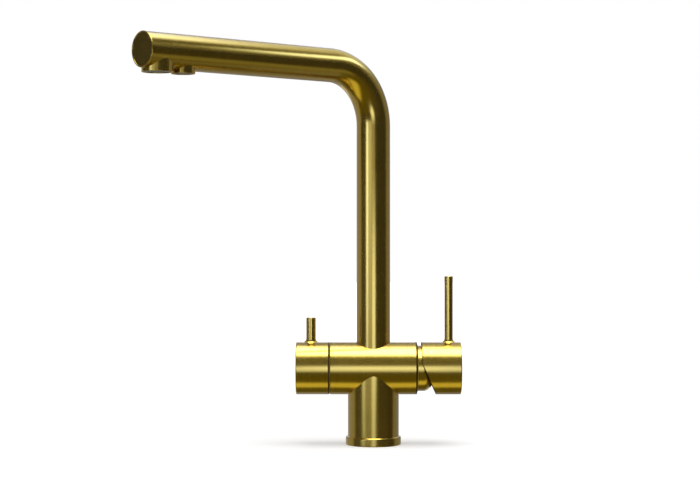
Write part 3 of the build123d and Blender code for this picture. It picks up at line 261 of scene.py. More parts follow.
# ====== Sizes shared by several pieces ======
@dataclass(frozen=True)
class Layout:
    """Places on the tap, in millimetres, as the CAD part has them."""

    cross_z: float = 64.0
    cross_r: float = 22.0
    arm_z: float = 315.0
    bend_r: float = 48.0
    arm_turn: float = 41.0  # in degrees, from the left towards the front
    main_at: float = 219.3  # the two outlets, out along the arm
    filter_at: float = 195.5
    shell_low: float = 299.1
    jets_low: float = 299.5
    main_jet_r: float = 9.5
    filter_jet_r: float = 6.65
    body_half: float = 36.5
    knob_rim: float = 37.1
    handle_rim: float = 40.25
    cut_top: float = 69.1  # the height where the handle's slanted cut starts
    cut_slant: float = 24.0  # in degrees

    def arm_dir(self) -> Vector:
        """Give the arm's direction, away from the riser."""
        turn = radians(self.arm_turn)
        return Vector((-cos(turn), -sin(turn), 0))


LAYOUT = Layout()


# ====== Finishes ======
class Brush(Enum):
    """What the fine lines of a brushed round run around."""

    COLUMN = "the upright axis of the column"
    CROSS = "the cross axis"
    BODY = "the cross axis on the cross and the upright axis on the column"
    SPOUT = "the spout tube's own centreline"
    ARM_END = "the arm's axis"
    LEVER = "a lever's upright axis"
    MAIN_OUTLET = "the mains outlet's axis"
    FILTER_OUTLET = "the filtered outlet's axis"


class Seam(Enum):
    """Where a piece meets the next one, so that shade is painted darker along its edge."""

    NONE = "no seam"
    BODY_ENDS = "both ends of the cross tube"
    KNOB_RIM = "the knob's rim beside the body"
    DOME_ROOT = "the dome's root beside the body"
    HANDLE_RIM = "the handle's rim with its slanted cut"


@dataclass(frozen=True)
class Turning:
    """Measures how far a point lies along the path that a brush went around."""

    graph: Graph
    flat_end: float = 0.7  # a face that looks this much along the axis is a flat end
    cross_spare: float = 0.05  # how far past its radius the cross tube still counts, in mm
    body_shift: float = 0.4  # the body's two seams lie this much to the left, in mm
    dome_in: float = 0.3  # and the seams of the dome and the handle this far in
    handle_in: float = 0.4
    dark_to: float = 0.5  # the painted seam shade is full to here and gone from there, in mm
    clear_from: float = 1.2

    def place(self) -> tuple[bpy.types.NodeSocket, bpy.types.NodeSocket]:
        """Give the point and its normal, both in the piece's own frame."""
        coordinates = self.graph.node("ShaderNodeTexCoord")
        return coordinates.outputs["Object"], coordinates.outputs["Normal"]

    def around(self, origin: Point, axis: Point) -> tuple[Value, Value]:
        """Measure along an axis on the round, and out from it on the flat ends.

        Args:
            origin: a point on the axis, in metres.
            axis: the axis's direction.

        Returns:
            The measure in metres, and the distance from the axis.
        """
        point, normal = self.place()
        offset = self.graph.vector("SUBTRACT", point, origin)
        along = self.graph.dot(offset, axis)
        out = self.graph.length(self.graph.vector("CROSS_PRODUCT", offset, axis))
        flat = abs(self.graph.dot(normal, axis)).over(self.flat_end)
        return along + (out - along) * flat, out

    def along_spout(self) -> Value:
        """Measure along the spout's centreline.

        Returns:
            The way up the riser, round the bend and out along the arm, in metres.
        """
        point, _ = self.place()
        reach = self.graph.dot(point, tuple(LAYOUT.arm_dir()))
        height = self.graph.parts(point)[2]
        bend = LAYOUT.bend_r * MM
        start = (LAYOUT.arm_z - LAYOUT.bend_r) * MM
        angle = (height - start).most(0.0).angle_from((bend - reach).most(0.0))
        return height.least(start) + angle * bend + (reach - bend).most(0.0)

    def measure(self, brush: Brush) -> Value:
        """Give the measure that a brush's lines follow.

        Args:
            brush: what the lines run around.

        Returns:
            The measure, in metres.
        """
        arm = LAYOUT.arm_dir()
        cross_at = (0.0, 0.0, LAYOUT.cross_z * MM)
        if brush is Brush.SPOUT:
            return self.along_spout()
        if brush is Brush.BODY:
            on_column, _ = self.around(ORIGIN, UPRIGHT)
            on_cross, out = self.around(cross_at, ACROSS)
            column = out.over((LAYOUT.cross_r + self.cross_spare) * MM)
            return on_cross + (on_column - on_cross) * column
        axes = {
            Brush.COLUMN: (ORIGIN, UPRIGHT),
            Brush.CROSS: (cross_at, ACROSS),
            Brush.ARM_END: ((0.0, 0.0, LAYOUT.arm_z * MM), tuple(arm)),
            Brush.LEVER: (ORIGIN, UPRIGHT),
            Brush.MAIN_OUTLET: (tuple(arm * LAYOUT.main_at * MM), UPRIGHT),
            Brush.FILTER_OUTLET: (tuple(arm * LAYOUT.filter_at * MM), UPRIGHT),
        }
        return self.around(*axes[brush])[0]

    def seam(self, seam: Seam) -> Value:
        """Mark where shade is painted along the edge that a seam runs along.

        Args:
            seam: which edge.

        Returns:
            1 at the edge, and 0 from a little way in.
        """
        point, _ = self.place()
        x, _, z = self.graph.parts(point)
        cut = (LAYOUT.cut_top * MM - z) * tan(radians(LAYOUT.cut_slant))
        inside = {
            Seam.BODY_ENDS: LAYOUT.body_half * MM - abs(x + self.body_shift * MM),
            Seam.KNOB_RIM: -LAYOUT.knob_rim * MM - x,
            Seam.DOME_ROOT: x - (LAYOUT.body_half - self.dome_in) * MM,
            Seam.HANDLE_RIM: x - (LAYOUT.handle_rim - self.handle_in) * MM - cut.most(0.0),
        }[seam]
        return 1 - inside.step(self.dark_to * MM, self.clear_from * MM)


@dataclass(frozen=True)
class BrushedGold:
    """Satin gold with fine turned lines, faint handling marks, a clear hard skin and painted shade
    along its seams.
    """

    colour: Colour = (0.53, 0.345, 0.035)
    light: Colour = (0.60, 0.41, 0.060)
    painted_seam_shade: Colour = (0.055, 0.028, 0.002)  # painted shade in the seams, standing in for the dark gap between parts
    roughness: float = 0.215
    line_change: float = 0.05  # how much the roughness changes with the lines
    mark_change: float = 0.07  # and with the handling marks
    seam_change: float = 0.2  # and in the seams
    line: float = 0.00022  # width of one brushed line, in metres
    wide_line: float = 9 * 0.00022  # and of the coarser ones
    line_depth: float = 0.0000012
    drift: tuple[float, float, float] = (45.0, 45.0, 45.0)
    marks: float = 28.0  # handling marks in a metre
    tones: tuple[float, float] = (0.3, 0.75)
    coat: float = 0.55
    coat_roughness: float = 0.16
    coat_ior: float = 1.5

    def material(self, brush: Brush, seam: Seam) -> bpy.types.Material:
        """Make the finish for one brush direction and one seam."""
        name = f"satin_gold_{brush.name}_{seam.name}".lower()
        return shader_material(name, lambda graph: self._surface(graph, brush, seam))

    def _surface(self, graph: Graph, brush: Brush, seam: Seam) -> bpy.types.NodeSocket:
        """Build the shader.

        Args:
            graph: the material's graph.
            brush: what the lines run around.
            seam: the edge where shade is painted darker.

        Returns:
            The shader's socket.
        """
        turning = Turning(graph)
        point, _ = turning.place()
        measure = turning.measure(brush)
        drift = graph.vector("MULTIPLY", point, self.drift)
        fine = graph.lines(drift, measure / self.line, 2.0, 0.6)
        wide = graph.lines(drift, measure / self.wide_line, 1.0, 0.5)
        marks = graph.noise(point, self.marks, 3.0, 0.55)
        lines = fine * 0.65 + wide * 0.35
        tone = (lines * 0.7 + marks * 0.3).step(*self.tones)
        colour = graph.blend(tone, self.colour, self.light)
        roughness = self.roughness + (wide - 0.5) * self.line_change
        roughness = roughness + (marks - 0.5) * self.mark_change
        coat = self.coat
        # Painted shade: along the seam the base colour goes to a near black brown, the coat goes
        # and the roughness rises, as if the gap between parts were in shade.
        if seam is not Seam.NONE:
            painted_shade = turning.seam(seam)
            colour = graph.blend(painted_shade, colour, self.painted_seam_shade)
            roughness = roughness + painted_shade * self.seam_change
            coat = coat * (1 - painted_shade)
        shader = graph.node("ShaderNodeBsdfPrincipled", inputs={
            "Base Color": colour,
            "Metallic": 1.0,
            "Roughness": roughness,
            "Coat Weight": coat,
            "Coat Roughness": self.coat_roughness,
            "Coat IOR": self.coat_ior,
            "Normal": graph.bump(lines, self.line_depth),
        })
        return shader.outputs[0]


@dataclass(frozen=True)
class MachinedMetal:
    """Plain turned metal with tool lines and slight staining."""

    colour: Colour
    stain: Colour
    roughness: float
    line: float = 0.0003  # width of one tool line, in metres
    line_depth: float = 0.000004
    line_change: float = 0.12  # how much the roughness changes with the lines
    stain_change: float = 0.08  # and with the stains
    drift: tuple[float, float, float] = (80.0, 80.0, 80.0)
    stains: float = 60.0  # stains in a metre

    def material(self, name: str) -> bpy.types.Material:
        """Make the finish, with its lines around the column's axis."""
        return shader_material(name, self._surface)

    def _surface(self, graph: Graph) -> bpy.types.NodeSocket:
        """Build the shader.

        Args:
            graph: the material's graph.

        Returns:
            The shader's socket.
        """
        turning = Turning(graph)
        point, _ = turning.place()
        drift = graph.vector("MULTIPLY", point, self.drift)
        lines = graph.lines(drift, turning.measure(Brush.COLUMN) / self.line, 2.0, 0.6)
        stained = graph.noise(point, self.stains, 4.0, 0.6).step(0.45, 0.75)
        change = (lines - 0.5) * self.line_change + stained * self.stain_change
        shader = graph.node("ShaderNodeBsdfPrincipled", inputs={
            "Base Color": graph.blend(stained * 0.6, self.colour, self.stain),
            "Metallic": 1.0,
            "Roughness": self.roughness + change,
            "Normal": graph.bump(lines, self.line_depth),
        })
        return shader.outputs[0]


@dataclass(frozen=True)
class Moulded:
    """Moulded rubber, plastic or lapped ceramic: a fine skin with slow changes of tone."""

    colour: Colour
    worn: Colour
    roughness: float
    grain: float = 0.0004  # size of the skin's grain, in metres
    grain_depth: float = 0.000008
    coat: float = 0.0
    coat_roughness: float = 0.3
    tones: float = 70.0  # changes of tone in a metre
    grain_change: float = 0.15  # how much the roughness changes with the grain

    def material(self, name: str) -> bpy.types.Material:
        """Make the finish."""
        return shader_material(name, self._surface)

    def _surface(self, graph: Graph) -> bpy.types.NodeSocket:
        """Build the shader.

        Args:
            graph: the material's graph.

        Returns:
            The shader's socket.
        """
        point, _ = Turning(graph).place()
        skin = graph.noise(point, 1 / self.grain, 3.0, 0.55)
        tone = graph.noise(point, self.tones, 3.0)
        shader = graph.node("ShaderNodeBsdfPrincipled", inputs={
            "Base Color": graph.blend(tone.step(0.35, 0.7), self.colour, self.worn),
            "Roughness": self.roughness + (skin - 0.5) * self.grain_change,
            "Coat Weight": self.coat,
            "Coat Roughness": self.coat_roughness,
            "Normal": graph.bump(skin, self.grain_depth),
        })
        return shader.outputs[0]


PLAIN_FINISHES = {
    "plain_brass": MachinedMetal((0.62, 0.42, 0.16), (0.40, 0.25, 0.09), 0.34),
    "stainless": MachinedMetal((0.55, 0.54, 0.52), (0.38, 0.37, 0.35), 0.30),
    "black_rubber": Moulded((0.018, 0.018, 0.018), (0.030, 0.029, 0.028), 0.62),
    "white_acetal": Moulded((0.72, 0.71, 0.66), (0.66, 0.64, 0.58), 0.42),
    "disc_ceramic": Moulded((0.80, 0.79, 0.74), (0.76, 0.75, 0.70), 0.16, 0.0002, 0.000001, 0.4),
    "inner_tube": Moulded((0.66, 0.69, 0.72), (0.60, 0.63, 0.66), 0.35),
    "black_plastic": Moulded((0.022, 0.021, 0.020), (0.036, 0.034, 0.032), 0.40),
    "gold_plug": Moulded((0.42, 0.28, 0.05), (0.36, 0.24, 0.045), 0.38),
}


class Finisher:
    """Hands out the finishes, each made once."""

    def __init__(self) -> None:
        """Start with nothing made."""
        self.gold = BrushedGold()
        self.made: dict[str, bpy.types.Material] = {}

    def satin(self, brush: Brush, seam: Seam) -> bpy.types.Material:
        """Give the satin gold.

        Args:
            brush: what its lines run around.
            seam: the edge where shade is painted darker.

        Returns:
            The material.
        """
        name = brush.name + seam.name
        if name not in self.made:
            self.made[name] = self.gold.material(brush, seam)
        return self.made[name]

    def plain(self, slot: str) -> bpy.types.Material:
        """Give the finish of one of the record's other slots.

        Args:
            slot: the slot's name.

        Returns:
            The material.
        """
        if slot not in self.made:
            self.made[slot] = PLAIN_FINISHES[slot].material(slot + "_finish")
        return self.made[slot]

    def dress(self, node: str, brush: Brush, seam: Seam = Seam.NONE) -> None:
        """Put the right finish on a CAD node.

        Args:
            node: the node's name.
            brush: the brush direction where the node is satin gold.
            seam: the edge where shade is painted darker, where it is satin gold.
        """
        slot = SLOT_OF[node]
        material = self.satin(brush, seam) if slot == "brushed_gold" else self.plain(slot)
        for place in frame["nodes"][node].material_slots:
            place.material = material
        LOG.info("dressed %s with %s", node, material.name)


# ====== Mesh helpers ======
@dataclass(frozen=True)
class Thread:
    """The ridge of an inside thread, in millimetres."""

    hole_r: float  # where the ridge's foot sits
    depth: float  # how far it stands in from there
    pitch: float
    turns: float
    foot: float = 0.42  # half the foot's width, in pitches
    crest: float = 0.06  # half the crest's width, in pitches
    steps: int = 40  # for each turn
    start: float = 0.06  # the share of its depth that both ends have


def add_object(name: str, data: bpy.types.ID) -> bpy.types.Object:
    """Make an object and link it to the scene.

    Args:
        name: the object's name.
        data: its mesh, camera or light.

    Returns:
        The object.
    """
    made = bpy.data.objects.new(name, data)
    bpy.context.scene.collection.objects.link(made)
    return made


def on_circle(centre: Vector, radius: float, turn: float, height: float = 0.0) -> Point:
    """Give the point at a turn round an upright axis, a height above the centre."""
    return centre.x + radius * cos(turn), centre.y + radius * sin(turn), centre.z + height


@dataclass
class MeshDraft:
    """Points and faces gathered for one object."""

    points: list[Point] = field(default_factory=list)
    faces: list[tuple[int, ...]] = field(default_factory=list)

    def _skin(self, first: int, rows: int, width: int, endless: bool) -> None:
        """Join rows of points with quads, and cap both ends unless there are none.

        Args:
            first: the first point's number.
            rows: how many rows there are.
            width: how many points each row has, anticlockwise where the skin has ends.
            endless: whether the last row joins the first; its rows run clockwise.
        """
        for row in range(rows if endless else rows - 1):
            here, there = first + row * width, first + (row + 1) % rows * width
            for corner in range(width):
                after = (corner + 1) % width
                quad = (here + corner, here + after, there + after, there + corner)
                self.faces.append((quad[0], *quad[:0:-1]) if endless else quad)
        if not endless:
            last = first + (rows - 1) * width
            self.faces.append(tuple(reversed(range(first, first + width))))
            self.faces.append(tuple(range(last, last + width)))

    def tube(self, path: Sequence[Vector], radius: float, sides: int) -> None:
        """Add a capped tube along a path.

        Args:
            path: its centreline.
            radius: its radius.
            sides: how many sides it has.
        """
        first = len(self.points)
        for index, point in enumerate(path):
            ahead = path[min(index + 1, len(path) - 1)] - path[max(index - 1, 0)]
            side = ahead.cross(Vector(UPRIGHT)).normalized()
            top = side.cross(ahead).normalized()
            for step in range(sides):
                turn = tau * (step + 0.5) / sides
                out = side * (radius * cos(turn)) + top * (radius * sin(turn))
                self.points.append(tuple(point + out))
        self._skin(first, len(path), sides, endless=False)

    def ring(self, centre: Vector, profile: Sequence[tuple[float, float]], steps: int) -> None:
        """Add a closed ring: a profile of radius and height turned about an upright axis.

        Args:
            centre: a point on the axis; the profile's heights start there.
            profile: the closed profile's corners, anticlockwise.
            steps: how many steps go round.
        """
        first = len(self.points)
        self.points.extend(on_circle(centre, radius, tau * step / steps, height)
                           for step in range(steps) for radius, height in profile)
        self._skin(first, steps, len(profile), endless=True)

    def ring_across(self, axis_z: float, profile: Sequence[tuple[float, float]],
                    steps: int) -> None:
        """Add a closed ring turned about the cross axis.

        Args:
            axis_z: the axis's height.
            profile: the closed profile's corners, each a radius and a place along the axis.
            steps: how many steps go round.
        """
        flat = MeshDraft()
        flat.ring(Vector(), profile, steps)
        first = len(self.points)
        self.points.extend((z, y, axis_z - x) for x, y, z in flat.points)
        self.faces.extend(tuple(first + corner for corner in face) for face in flat.faces)

    def thread(self, centre: Vector, thread: Thread) -> None:
        """Add the ridge of an inside thread.

        Args:
            centre: the middle of the thread's lower end, in metres.
            thread: its sizes.
        """
        first = len(self.points)
        last = int(thread.turns * thread.steps)
        half_turn = thread.steps / 2
        for row in range(last + 1):
            share = max(thread.start, min(1.0, row / half_turn, (last - row) / half_turn))
            crest_r = thread.hole_r - thread.depth * share
            for radius, height in ((thread.hole_r, -thread.foot), (crest_r, -thread.crest),
                                   (crest_r, thread.crest), (thread.hole_r, thread.foot)):
                rise = thread.pitch * (row / thread.steps + height)
                turn = tau * row / thread.steps
                self.points.append(on_circle(centre, radius * MM, turn, rise * MM))
        self._skin(first, last + 1, 4, endless=False)

    def build(self, name: str) -> bpy.types.Object:
        """Make the object.

        Args:
            name: the object's name.

        Returns:
            The object, linked to the scene.
        """
        mesh = bpy.data.meshes.new(name)
        mesh.from_pydata(self.points, [], self.faces)
        mesh.validate()
        mesh.shade_smooth()
        return add_object(name, mesh)


def add_piece(draft: MeshDraft, name: str, body: str, slot: str, finisher: Finisher) -> None:
    """Build a new piece, dress it and let it ride on its body.

    Args:
        draft: its mesh.
        name: its name.
        body: the body that it moves with.
        slot: the record's slot that it takes its finish from.
        finisher: gives the finish.
    """
    piece = draft.build(name)
    piece.data.materials.append(finisher.plain(slot))
    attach(piece, body)
    LOG.info("built %s on %s", name, body)


# ====== Sub-assemblies ======
@dataclass
class TapBody:
    """The T-shaped body with its base, inlet block, cartridges and dome, in millimetres."""

    finisher: Finisher
    washer_inner: float = 13.1
    washer_outer: float = 21.4
    washer_clear: float = 0.05
    gasket_inner: float = 19.11
    gasket_outer: float = 19.9
    gasket_l: float = 0.55
    gasket_clear: float = 0.01
    gasket_bevel: float = 0.4  # a share of its length
    ring_steps: int = 96
    ports: tuple[tuple[str, float, float], ...] = (
        ("hot", 4.557, -8.221), ("cold", 4.557, 8.221), ("filter", -9.4, 0.0))
    port_thread: Thread = Thread(hole_r=4.5, depth=0.53, pitch=1.0, turns=8.6)
    stud_x: float = 10.5
    stud_thread: Thread = Thread(hole_r=3.4, depth=0.6, pitch=1.25, turns=8.2)
    block_low: float = 1.5
    thread_in: float = 0.6  # how far inside the block's face the threads start
    brushes: dict[str, Brush] = field(default_factory=lambda: {
        "tap_body": Brush.BODY,
        "base_ring": Brush.COLUMN,
        "spout_lock_screw": Brush.COLUMN,
        "dome_cover": Brush.CROSS,
    })
    # the nodes that get painted shade along their seams
    seams: dict[str, Seam] = field(default_factory=lambda: {
        "tap_body": Seam.BODY_ENDS,
        "dome_cover": Seam.DOME_ROOT,
    })

    def dress(self) -> None:
        """Finish every node of the body and of the two bodies that move inside it."""
        for body in ("tap", "mixer_turret", "mixer_disc"):
            for node in BODIES[body]:
                brush = self.brushes.get(node, Brush.CROSS)
                self.finisher.dress(node, brush, self.seams.get(node, Seam.NONE))

    def knob_washer(self) -> MeshDraft:
        """Fill the gap beside the knob with its friction washer.

        Returns:
            The washer's mesh, in metres.
        """
        draft = MeshDraft()
        low = (-LAYOUT.knob_rim + self.washer_clear) * MM
        high = (-LAYOUT.body_half - self.washer_clear / 2) * MM
        inner, outer = self.washer_inner * MM, self.washer_outer * MM
        profile = [(inner, low), (outer, low), (outer, high), (inner, high)]
        draft.ring_across(LAYOUT.cross_z * MM, profile, self.ring_steps)
        return draft

    def dome_gasket(self) -> MeshDraft:
        """Seat the dome's root in a thin gasket with a bevelled edge.

        Returns:
            The gasket's mesh, in metres.
        """
        draft = MeshDraft()
        low = (LAYOUT.body_half + self.gasket_clear) * MM
        high = low + self.gasket_l * MM
        inner, outer = self.gasket_inner * MM, self.gasket_outer * MM
        bevel = self.gasket_bevel * self.gasket_l * MM
        profile = [(inner, low), (outer, low), (outer, high - bevel), (outer - bevel, high),
                   (inner, high)]
        draft.ring_across(LAYOUT.cross_z * MM, profile, self.ring_steps)
        return draft

    def build(self) -> None:
        """Add the washer and the gasket beside the body, and the threads in its foot."""
        add_piece(self.knob_washer(), "knob_washer", "tap", "gold_plug", self.finisher)
        add_piece(self.dome_gasket(), "dome_gasket", "tap", "gold_plug", self.finisher)
        holes = [(f"{name}_port_thread", x, y, self.port_thread) for name, x, y in self.ports]
        holes.append(("stud_thread", self.stud_x, 0.0, self.stud_thread))
        for name, x, y, thread in holes:
            draft = MeshDraft()
            draft.thread(Vector((x, y, self.block_low + self.thread_in)) * MM, thread)
            add_piece(draft, name, "tap", "plain_brass", self.finisher)


@dataclass
class Handles:
    """The mixer's handle on the right and the filter valve's knob on the left."""

    finisher: Finisher
    # the nodes that get painted shade along their seams
    seams: dict[str, Seam] = field(default_factory=lambda: {
        "filter_knob": Seam.KNOB_RIM,
        "handle_cap": Seam.HANDLE_RIM,
    })

    def dress(self) -> None:
        """Finish both handles; the levers' lines run around the levers."""
        for body in ("mixer_handle", "filter_handle"):
            for node in BODIES[body]:
                brush = Brush.LEVER if node.endswith("lever") else Brush.CROSS
                self.finisher.dress(node, brush, self.seams.get(node, Seam.NONE))


@dataclass
class SwivelSpout:
    """The spout tube with its closed end and its two outlets, in millimetres."""

    finisher: Finisher
    wire_r: float = 0.08
    wire_sides: int = 4
    wire_pitch: float = 0.9
    points_per_cell: int = 4
    rim_w: float = 0.45
    rim_bevel: float = 0.08
    rim_clear: float = 0.03
    rim_steps: int = 72
    brushes: dict[str, Brush] = field(default_factory=lambda: {
        "spout_tube": Brush.SPOUT,
        "end_cap": Brush.ARM_END,
        "main_collar": Brush.MAIN_OUTLET,
        "filter_collar": Brush.FILTER_OUTLET,
    })

    def dress(self) -> None:
        """Finish every node of the spout."""
        for node in BODIES["spout"]:
            self.finisher.dress(node, self.brushes.get(node, Brush.SPOUT))

    def wire(self, half: float, phase: float) -> list[tuple[float, float]]:
        """Let one wire of the weave rise and fall.

        Args:
            half: half its length.
            phase: where its wave starts, in radians.

        Returns:
            Its places along and above the screen.
        """
        steps = max(4, int(2 * half / self.wire_pitch * self.points_per_cell))
        places = [-half + 2 * half * step / steps for step in range(steps + 1)]
        return [(at, self.wire_r * sin(pi * at / self.wire_pitch + pi / 2 + phase))
                for at in places]

    def screen(self, at: float, radius: float) -> MeshDraft:
        """Weave one outlet's wire screen, with the rim that holds it.

        Args:
            at: how far out along the arm the outlet is.
            radius: the screen's outside radius.

        Returns:
            The screen's mesh, in metres.
        """
        draft = MeshDraft()
        along = LAYOUT.arm_dir()
        across = Vector((-along.y, along.x, 0))
        middle = (LAYOUT.shell_low + LAYOUT.jets_low) / 2
        centre = along * at + Vector((0, 0, middle))
        rows = int((radius - self.rim_w) / self.wire_pitch)
        for forward, sideways, phase in ((along, across, 0.0), (across, along, pi)):
            for row in range(-rows, rows + 1):
                offset = row * self.wire_pitch
                half = sqrt((radius - self.rim_w / 2) ** 2 - offset**2)
                path = [(centre + forward * reach + sideways * offset + Vector((0, 0, rise))) * MM
                        for reach, rise in self.wire(half, phase + pi * row)]
                draft.tube(path, self.wire_r * MM, self.wire_sides)
        low = (LAYOUT.shell_low - middle + self.rim_clear) * MM
        high = (LAYOUT.jets_low - middle - self.rim_clear) * MM
        inner, outer = (radius - self.rim_w) * MM, (radius - self.rim_clear) * MM
        bevel = self.rim_bevel * MM
        profile = [(inner + bevel, low), (outer, low), (outer, high), (inner, high),
                   (inner, low + bevel)]
        draft.ring(centre * MM, profile, self.rim_steps)
        return draft

    def build(self) -> None:
        """Add the two outlets' wire screens."""
        screens = (("main_outlet_screen", LAYOUT.main_at, LAYOUT.main_jet_r),
                   ("filter_outlet_screen", LAYOUT.filter_at, LAYOUT.filter_jet_r))
        for name, at, radius in screens:
            add_piece(self.screen(at, radius), name, "spout", "stainless", self.finisher)


# ====== Studio ======
@dataclass(frozen=True)
class Card:
    """A part of the studio's surroundings, by the directions that it fills as seen from the tap.

    Directions are in degrees: right of the camera, and up from level.
    """

    left: float
    right: float
    low: float
    high: float
    light: float
    soft: float = 5.0
    tint: Colour = WHITE


def both_sides(card: Card) -> tuple[Card, Card]:
    """Give a card and its mirror image on the tap's other side."""
    return card, replace(card, left=-card.right, right=-card.left)


@dataclass(frozen=True)
class Overhead:
    """A long card across the tap.

    Its edges are angles from the front horizon up and over to the back one, in degrees.
    """

    front: float
    back: float
    side: float  # its half length, as seen from the tap
    light: float
    soft: float
    tint: Colour


@dataclass(frozen=True)
class NearCard:
    """A card or flag hung so close that only part of the tap mirrors it.

    Its light rises over the first two places of across and up, and falls over the last two.
    """

    name: str
    centre: Point
    side: float  # the way to it from what mirrors it, in degrees right of the camera
    rise: float  # and in degrees up from level
    across: Fade
    up: Fade
    light: float
    tint: Colour = WHITE

    def build(self) -> bpy.types.Object:
        """Hang the card.

        Returns:
            The card's object.
        """
        side, rise = radians(self.side), radians(self.rise)
        away = Vector((sin(side) * cos(rise), -cos(side) * cos(rise), sin(rise)))
        over = Vector(UPRIGHT).cross(away).normalized()
        turn = Matrix((over, away.cross(over), away)).transposed()
        draft = MeshDraft()
        draft.points.extend((x, y, 0.0) for y in (self.up[0], self.up[3])
                            for x in (self.across[0], self.across[3]))
        draft.faces.append((0, 1, 3, 2))
        made = draft.build(self.name)
        made.matrix_world = Matrix.Translation(self.centre) @ turn.to_4x4()
        return made

    def surface(self, graph: Graph) -> bpy.types.NodeSocket:
        """Shine softly, and let what lies behind show where the light fades.

        Args:
            graph: the material's graph.

        Returns:
            The shader's socket.
        """
        x, y, _ = graph.parts(graph.node("ShaderNodeTexCoord").outputs["Object"])
        shape = x.hump(self.across) * y.hump(self.up)
        clear = graph.node("ShaderNodeBsdfTransparent")
        glow = graph.node("ShaderNodeEmission", inputs={
            "Color": (*self.tint, 1.0), "Strength": self.light})
        return graph.node("ShaderNodeMixShader", inputs={
            0: shape, 1: clear.outputs[0], 2: glow.outputs[0]}).outputs[0]


@dataclass
class Studio:
    """A white floor and background, soft cards and dark flags for the metal, and the camera."""

    eye: Point = (-0.0196, -1.4936, 0.1697)
    lens: float = 91.59
    sensor: float = 36.0
    clip: tuple[float, float] = (0.01, 100.0)
    floor_r: float = 6.0
    floor_sides: int = 64
    floor_fade: tuple[float, float] = (0.25, 1.6)  # from the tap, where its glow grows to full
    paper: tuple[Colour, Colour] = ((0.80, 0.80, 0.80), (0.83, 0.83, 0.83))
    paper_grain: float = 900.0
    near_glow: float = 0.4  # its glow at the tap
    fill: float = 0.45  # how much of the background's white counts as light
    lamp_at: Point = (0.15, -0.25, 1.5)
    lamp_tilt: tuple[float, float] = (-9.0, 6.0)
    lamp_size: tuple[float, float] = (1.3, 1.0)
    lamp_watts: float = 12.0
    tent_half: float = 20.0
    overhead_edge: float = 0.1
    dark: Colour = (0.058, 0.058, 0.058)

    # Later cards lie over earlier ones.
    cards: tuple[Card, ...] = (
        # the floor's warm bounce, and the dim flags in front of the tap
        Card(-400, 400, -100, -20, 0.135, 8, (1.0, 0.88, 0.15)),
        Card(-100, 97, -20, -4, 0.10, 5, (1.0, 0.92, 0.6)),
        Card(-75, 22, 10, 44, 0.20, 8),
        Card(-100, -60, -14, 44, 0.10, 8),
        # the two sides and the back
        Card(-400, -92, -50, 60, 0.38, 10),
        Card(97, 400, -50, 60, 0.27, 10),
        Card(68, 97, -20, -2, 0.06, 8, (1.0, 0.92, 0.6)),
        # the riser's bright bands
        Card(-18, 8, -3, 9, 0.5, 9, (1.0, 1.0, 1.2)),
        Card(-53, -13, -3, 9, 1.12, 5, (1.0, 1.13, 1.75)),
        Card(-50, -37.5, -3, 9, 2.7, 5, (1.0, 1.25, 2.4)),
        # the column's bright band
        Card(-8, 9, -12, -2, 1.1, 6, (1.0, 1.2, 2.0)),
        # the bend's lights, from the right
        Card(74, 104, 18, 40, 0.24, 16),
        Card(72, 112, -38, -23, 0.28, 8, (1.0, 1.0, 0.7)),
        Card(118, 172, 26, 58, 0.85, 20, (1.0, 1.1, 1.15)),
        # the rims, from behind
        *both_sides(Card(152, 169, -34, -8, 0.9, 8, (1.0, 0.95, 0.75))),
        *both_sides(Card(165, 400, -14, 2, 0.2, 8, (1.0, 0.95, 0.8))),
        *both_sides(Card(168, 400, 8, 26, 1.2, 4, (1.0, 1.1, 1.6))),
    )
    # Under the cross, over the arm and over the cross.
    overheads: tuple[Overhead, ...] = (
        Overhead(-89, -64, 0.5, 0.93, 10, (1.0, 0.95, 0.35)),
        Overhead(56, 120, 0.4, 1.2, 24, (1.0, 1.05, 1.3)),
        Overhead(62.5, 102, 0.33, 7.0, 14, (1.0, 1.15, 1.3)),
    )
    near_cards: tuple[NearCard, ...] = (
        # the cross tube's middle band
        NearCard("front_card", (0.0, -0.6, 0.1), 0, 0, (-0.115, -0.07, 0.115, 0.155),
                 (-0.12, -0.04, 0.02, 0.145), 1.85, (1.0, 1.2, 2.1)),
        # keeps the arm's end dark, and the riser's bright band off the arm
        NearCard("end_flag", (-0.551, -0.048, 0.355), -104, 6, (-0.12, -0.08, 0.08, 0.12),
                 (-0.12, -0.08, 0.08, 0.12), 0.062),
        NearCard("arm_flag", (-0.536, -0.771, 0.445), -33, 0, (-0.40, -0.33, 0.33, 0.40),
                 (-0.080, -0.055, 0.09, 0.13), 0.1),
        # the arm's upper bands
        NearCard("right_card", (0.427, -0.069, 0.651), 89, 34, (-0.12, 0.02, 0.25, 0.33),
                 (-0.115, -0.065, 0.02, 0.06), 2.6, (1.0, 1.25, 2.2)),
        NearCard("back_card", (0.177, 0.215, 0.788), 138, 52, (-0.30, -0.10, 0.30, 0.38),
                 (-0.02, 0.20, 0.21, 0.25), 2.35, (1.0, 1.2, 1.9)),
    )

    def camera(self) -> None:
        """Stand the camera where the photograph was taken from."""
        data = bpy.data.cameras.new("camera")
        data.lens = self.lens
        data.sensor_width = self.sensor
        data.sensor_fit = "HORIZONTAL"
        data.clip_start, data.clip_end = self.clip
        made = add_object("camera", data)
        made.location = self.eye
        made.rotation_euler = (pi / 2, 0, 0)
        bpy.context.scene.camera = made
        bpy.context.scene.view_settings.view_transform = "Standard"

    @staticmethod
    def seen(graph: Graph) -> Value:
        """Mark the rays that look at the background itself.

        Args:
            graph: the material's or the world's graph.

        Returns:
            1 in the picture, in metal and in glass, and 0 elsewhere.
        """
        rays = graph.node("ShaderNodeLightPath").outputs
        names = ("Is Camera Ray", "Is Glossy Ray", "Is Transmission Ray")
        camera, glossy, through = (graph.value(rays[name]) for name in names)
        return camera.most(glossy).most(through)

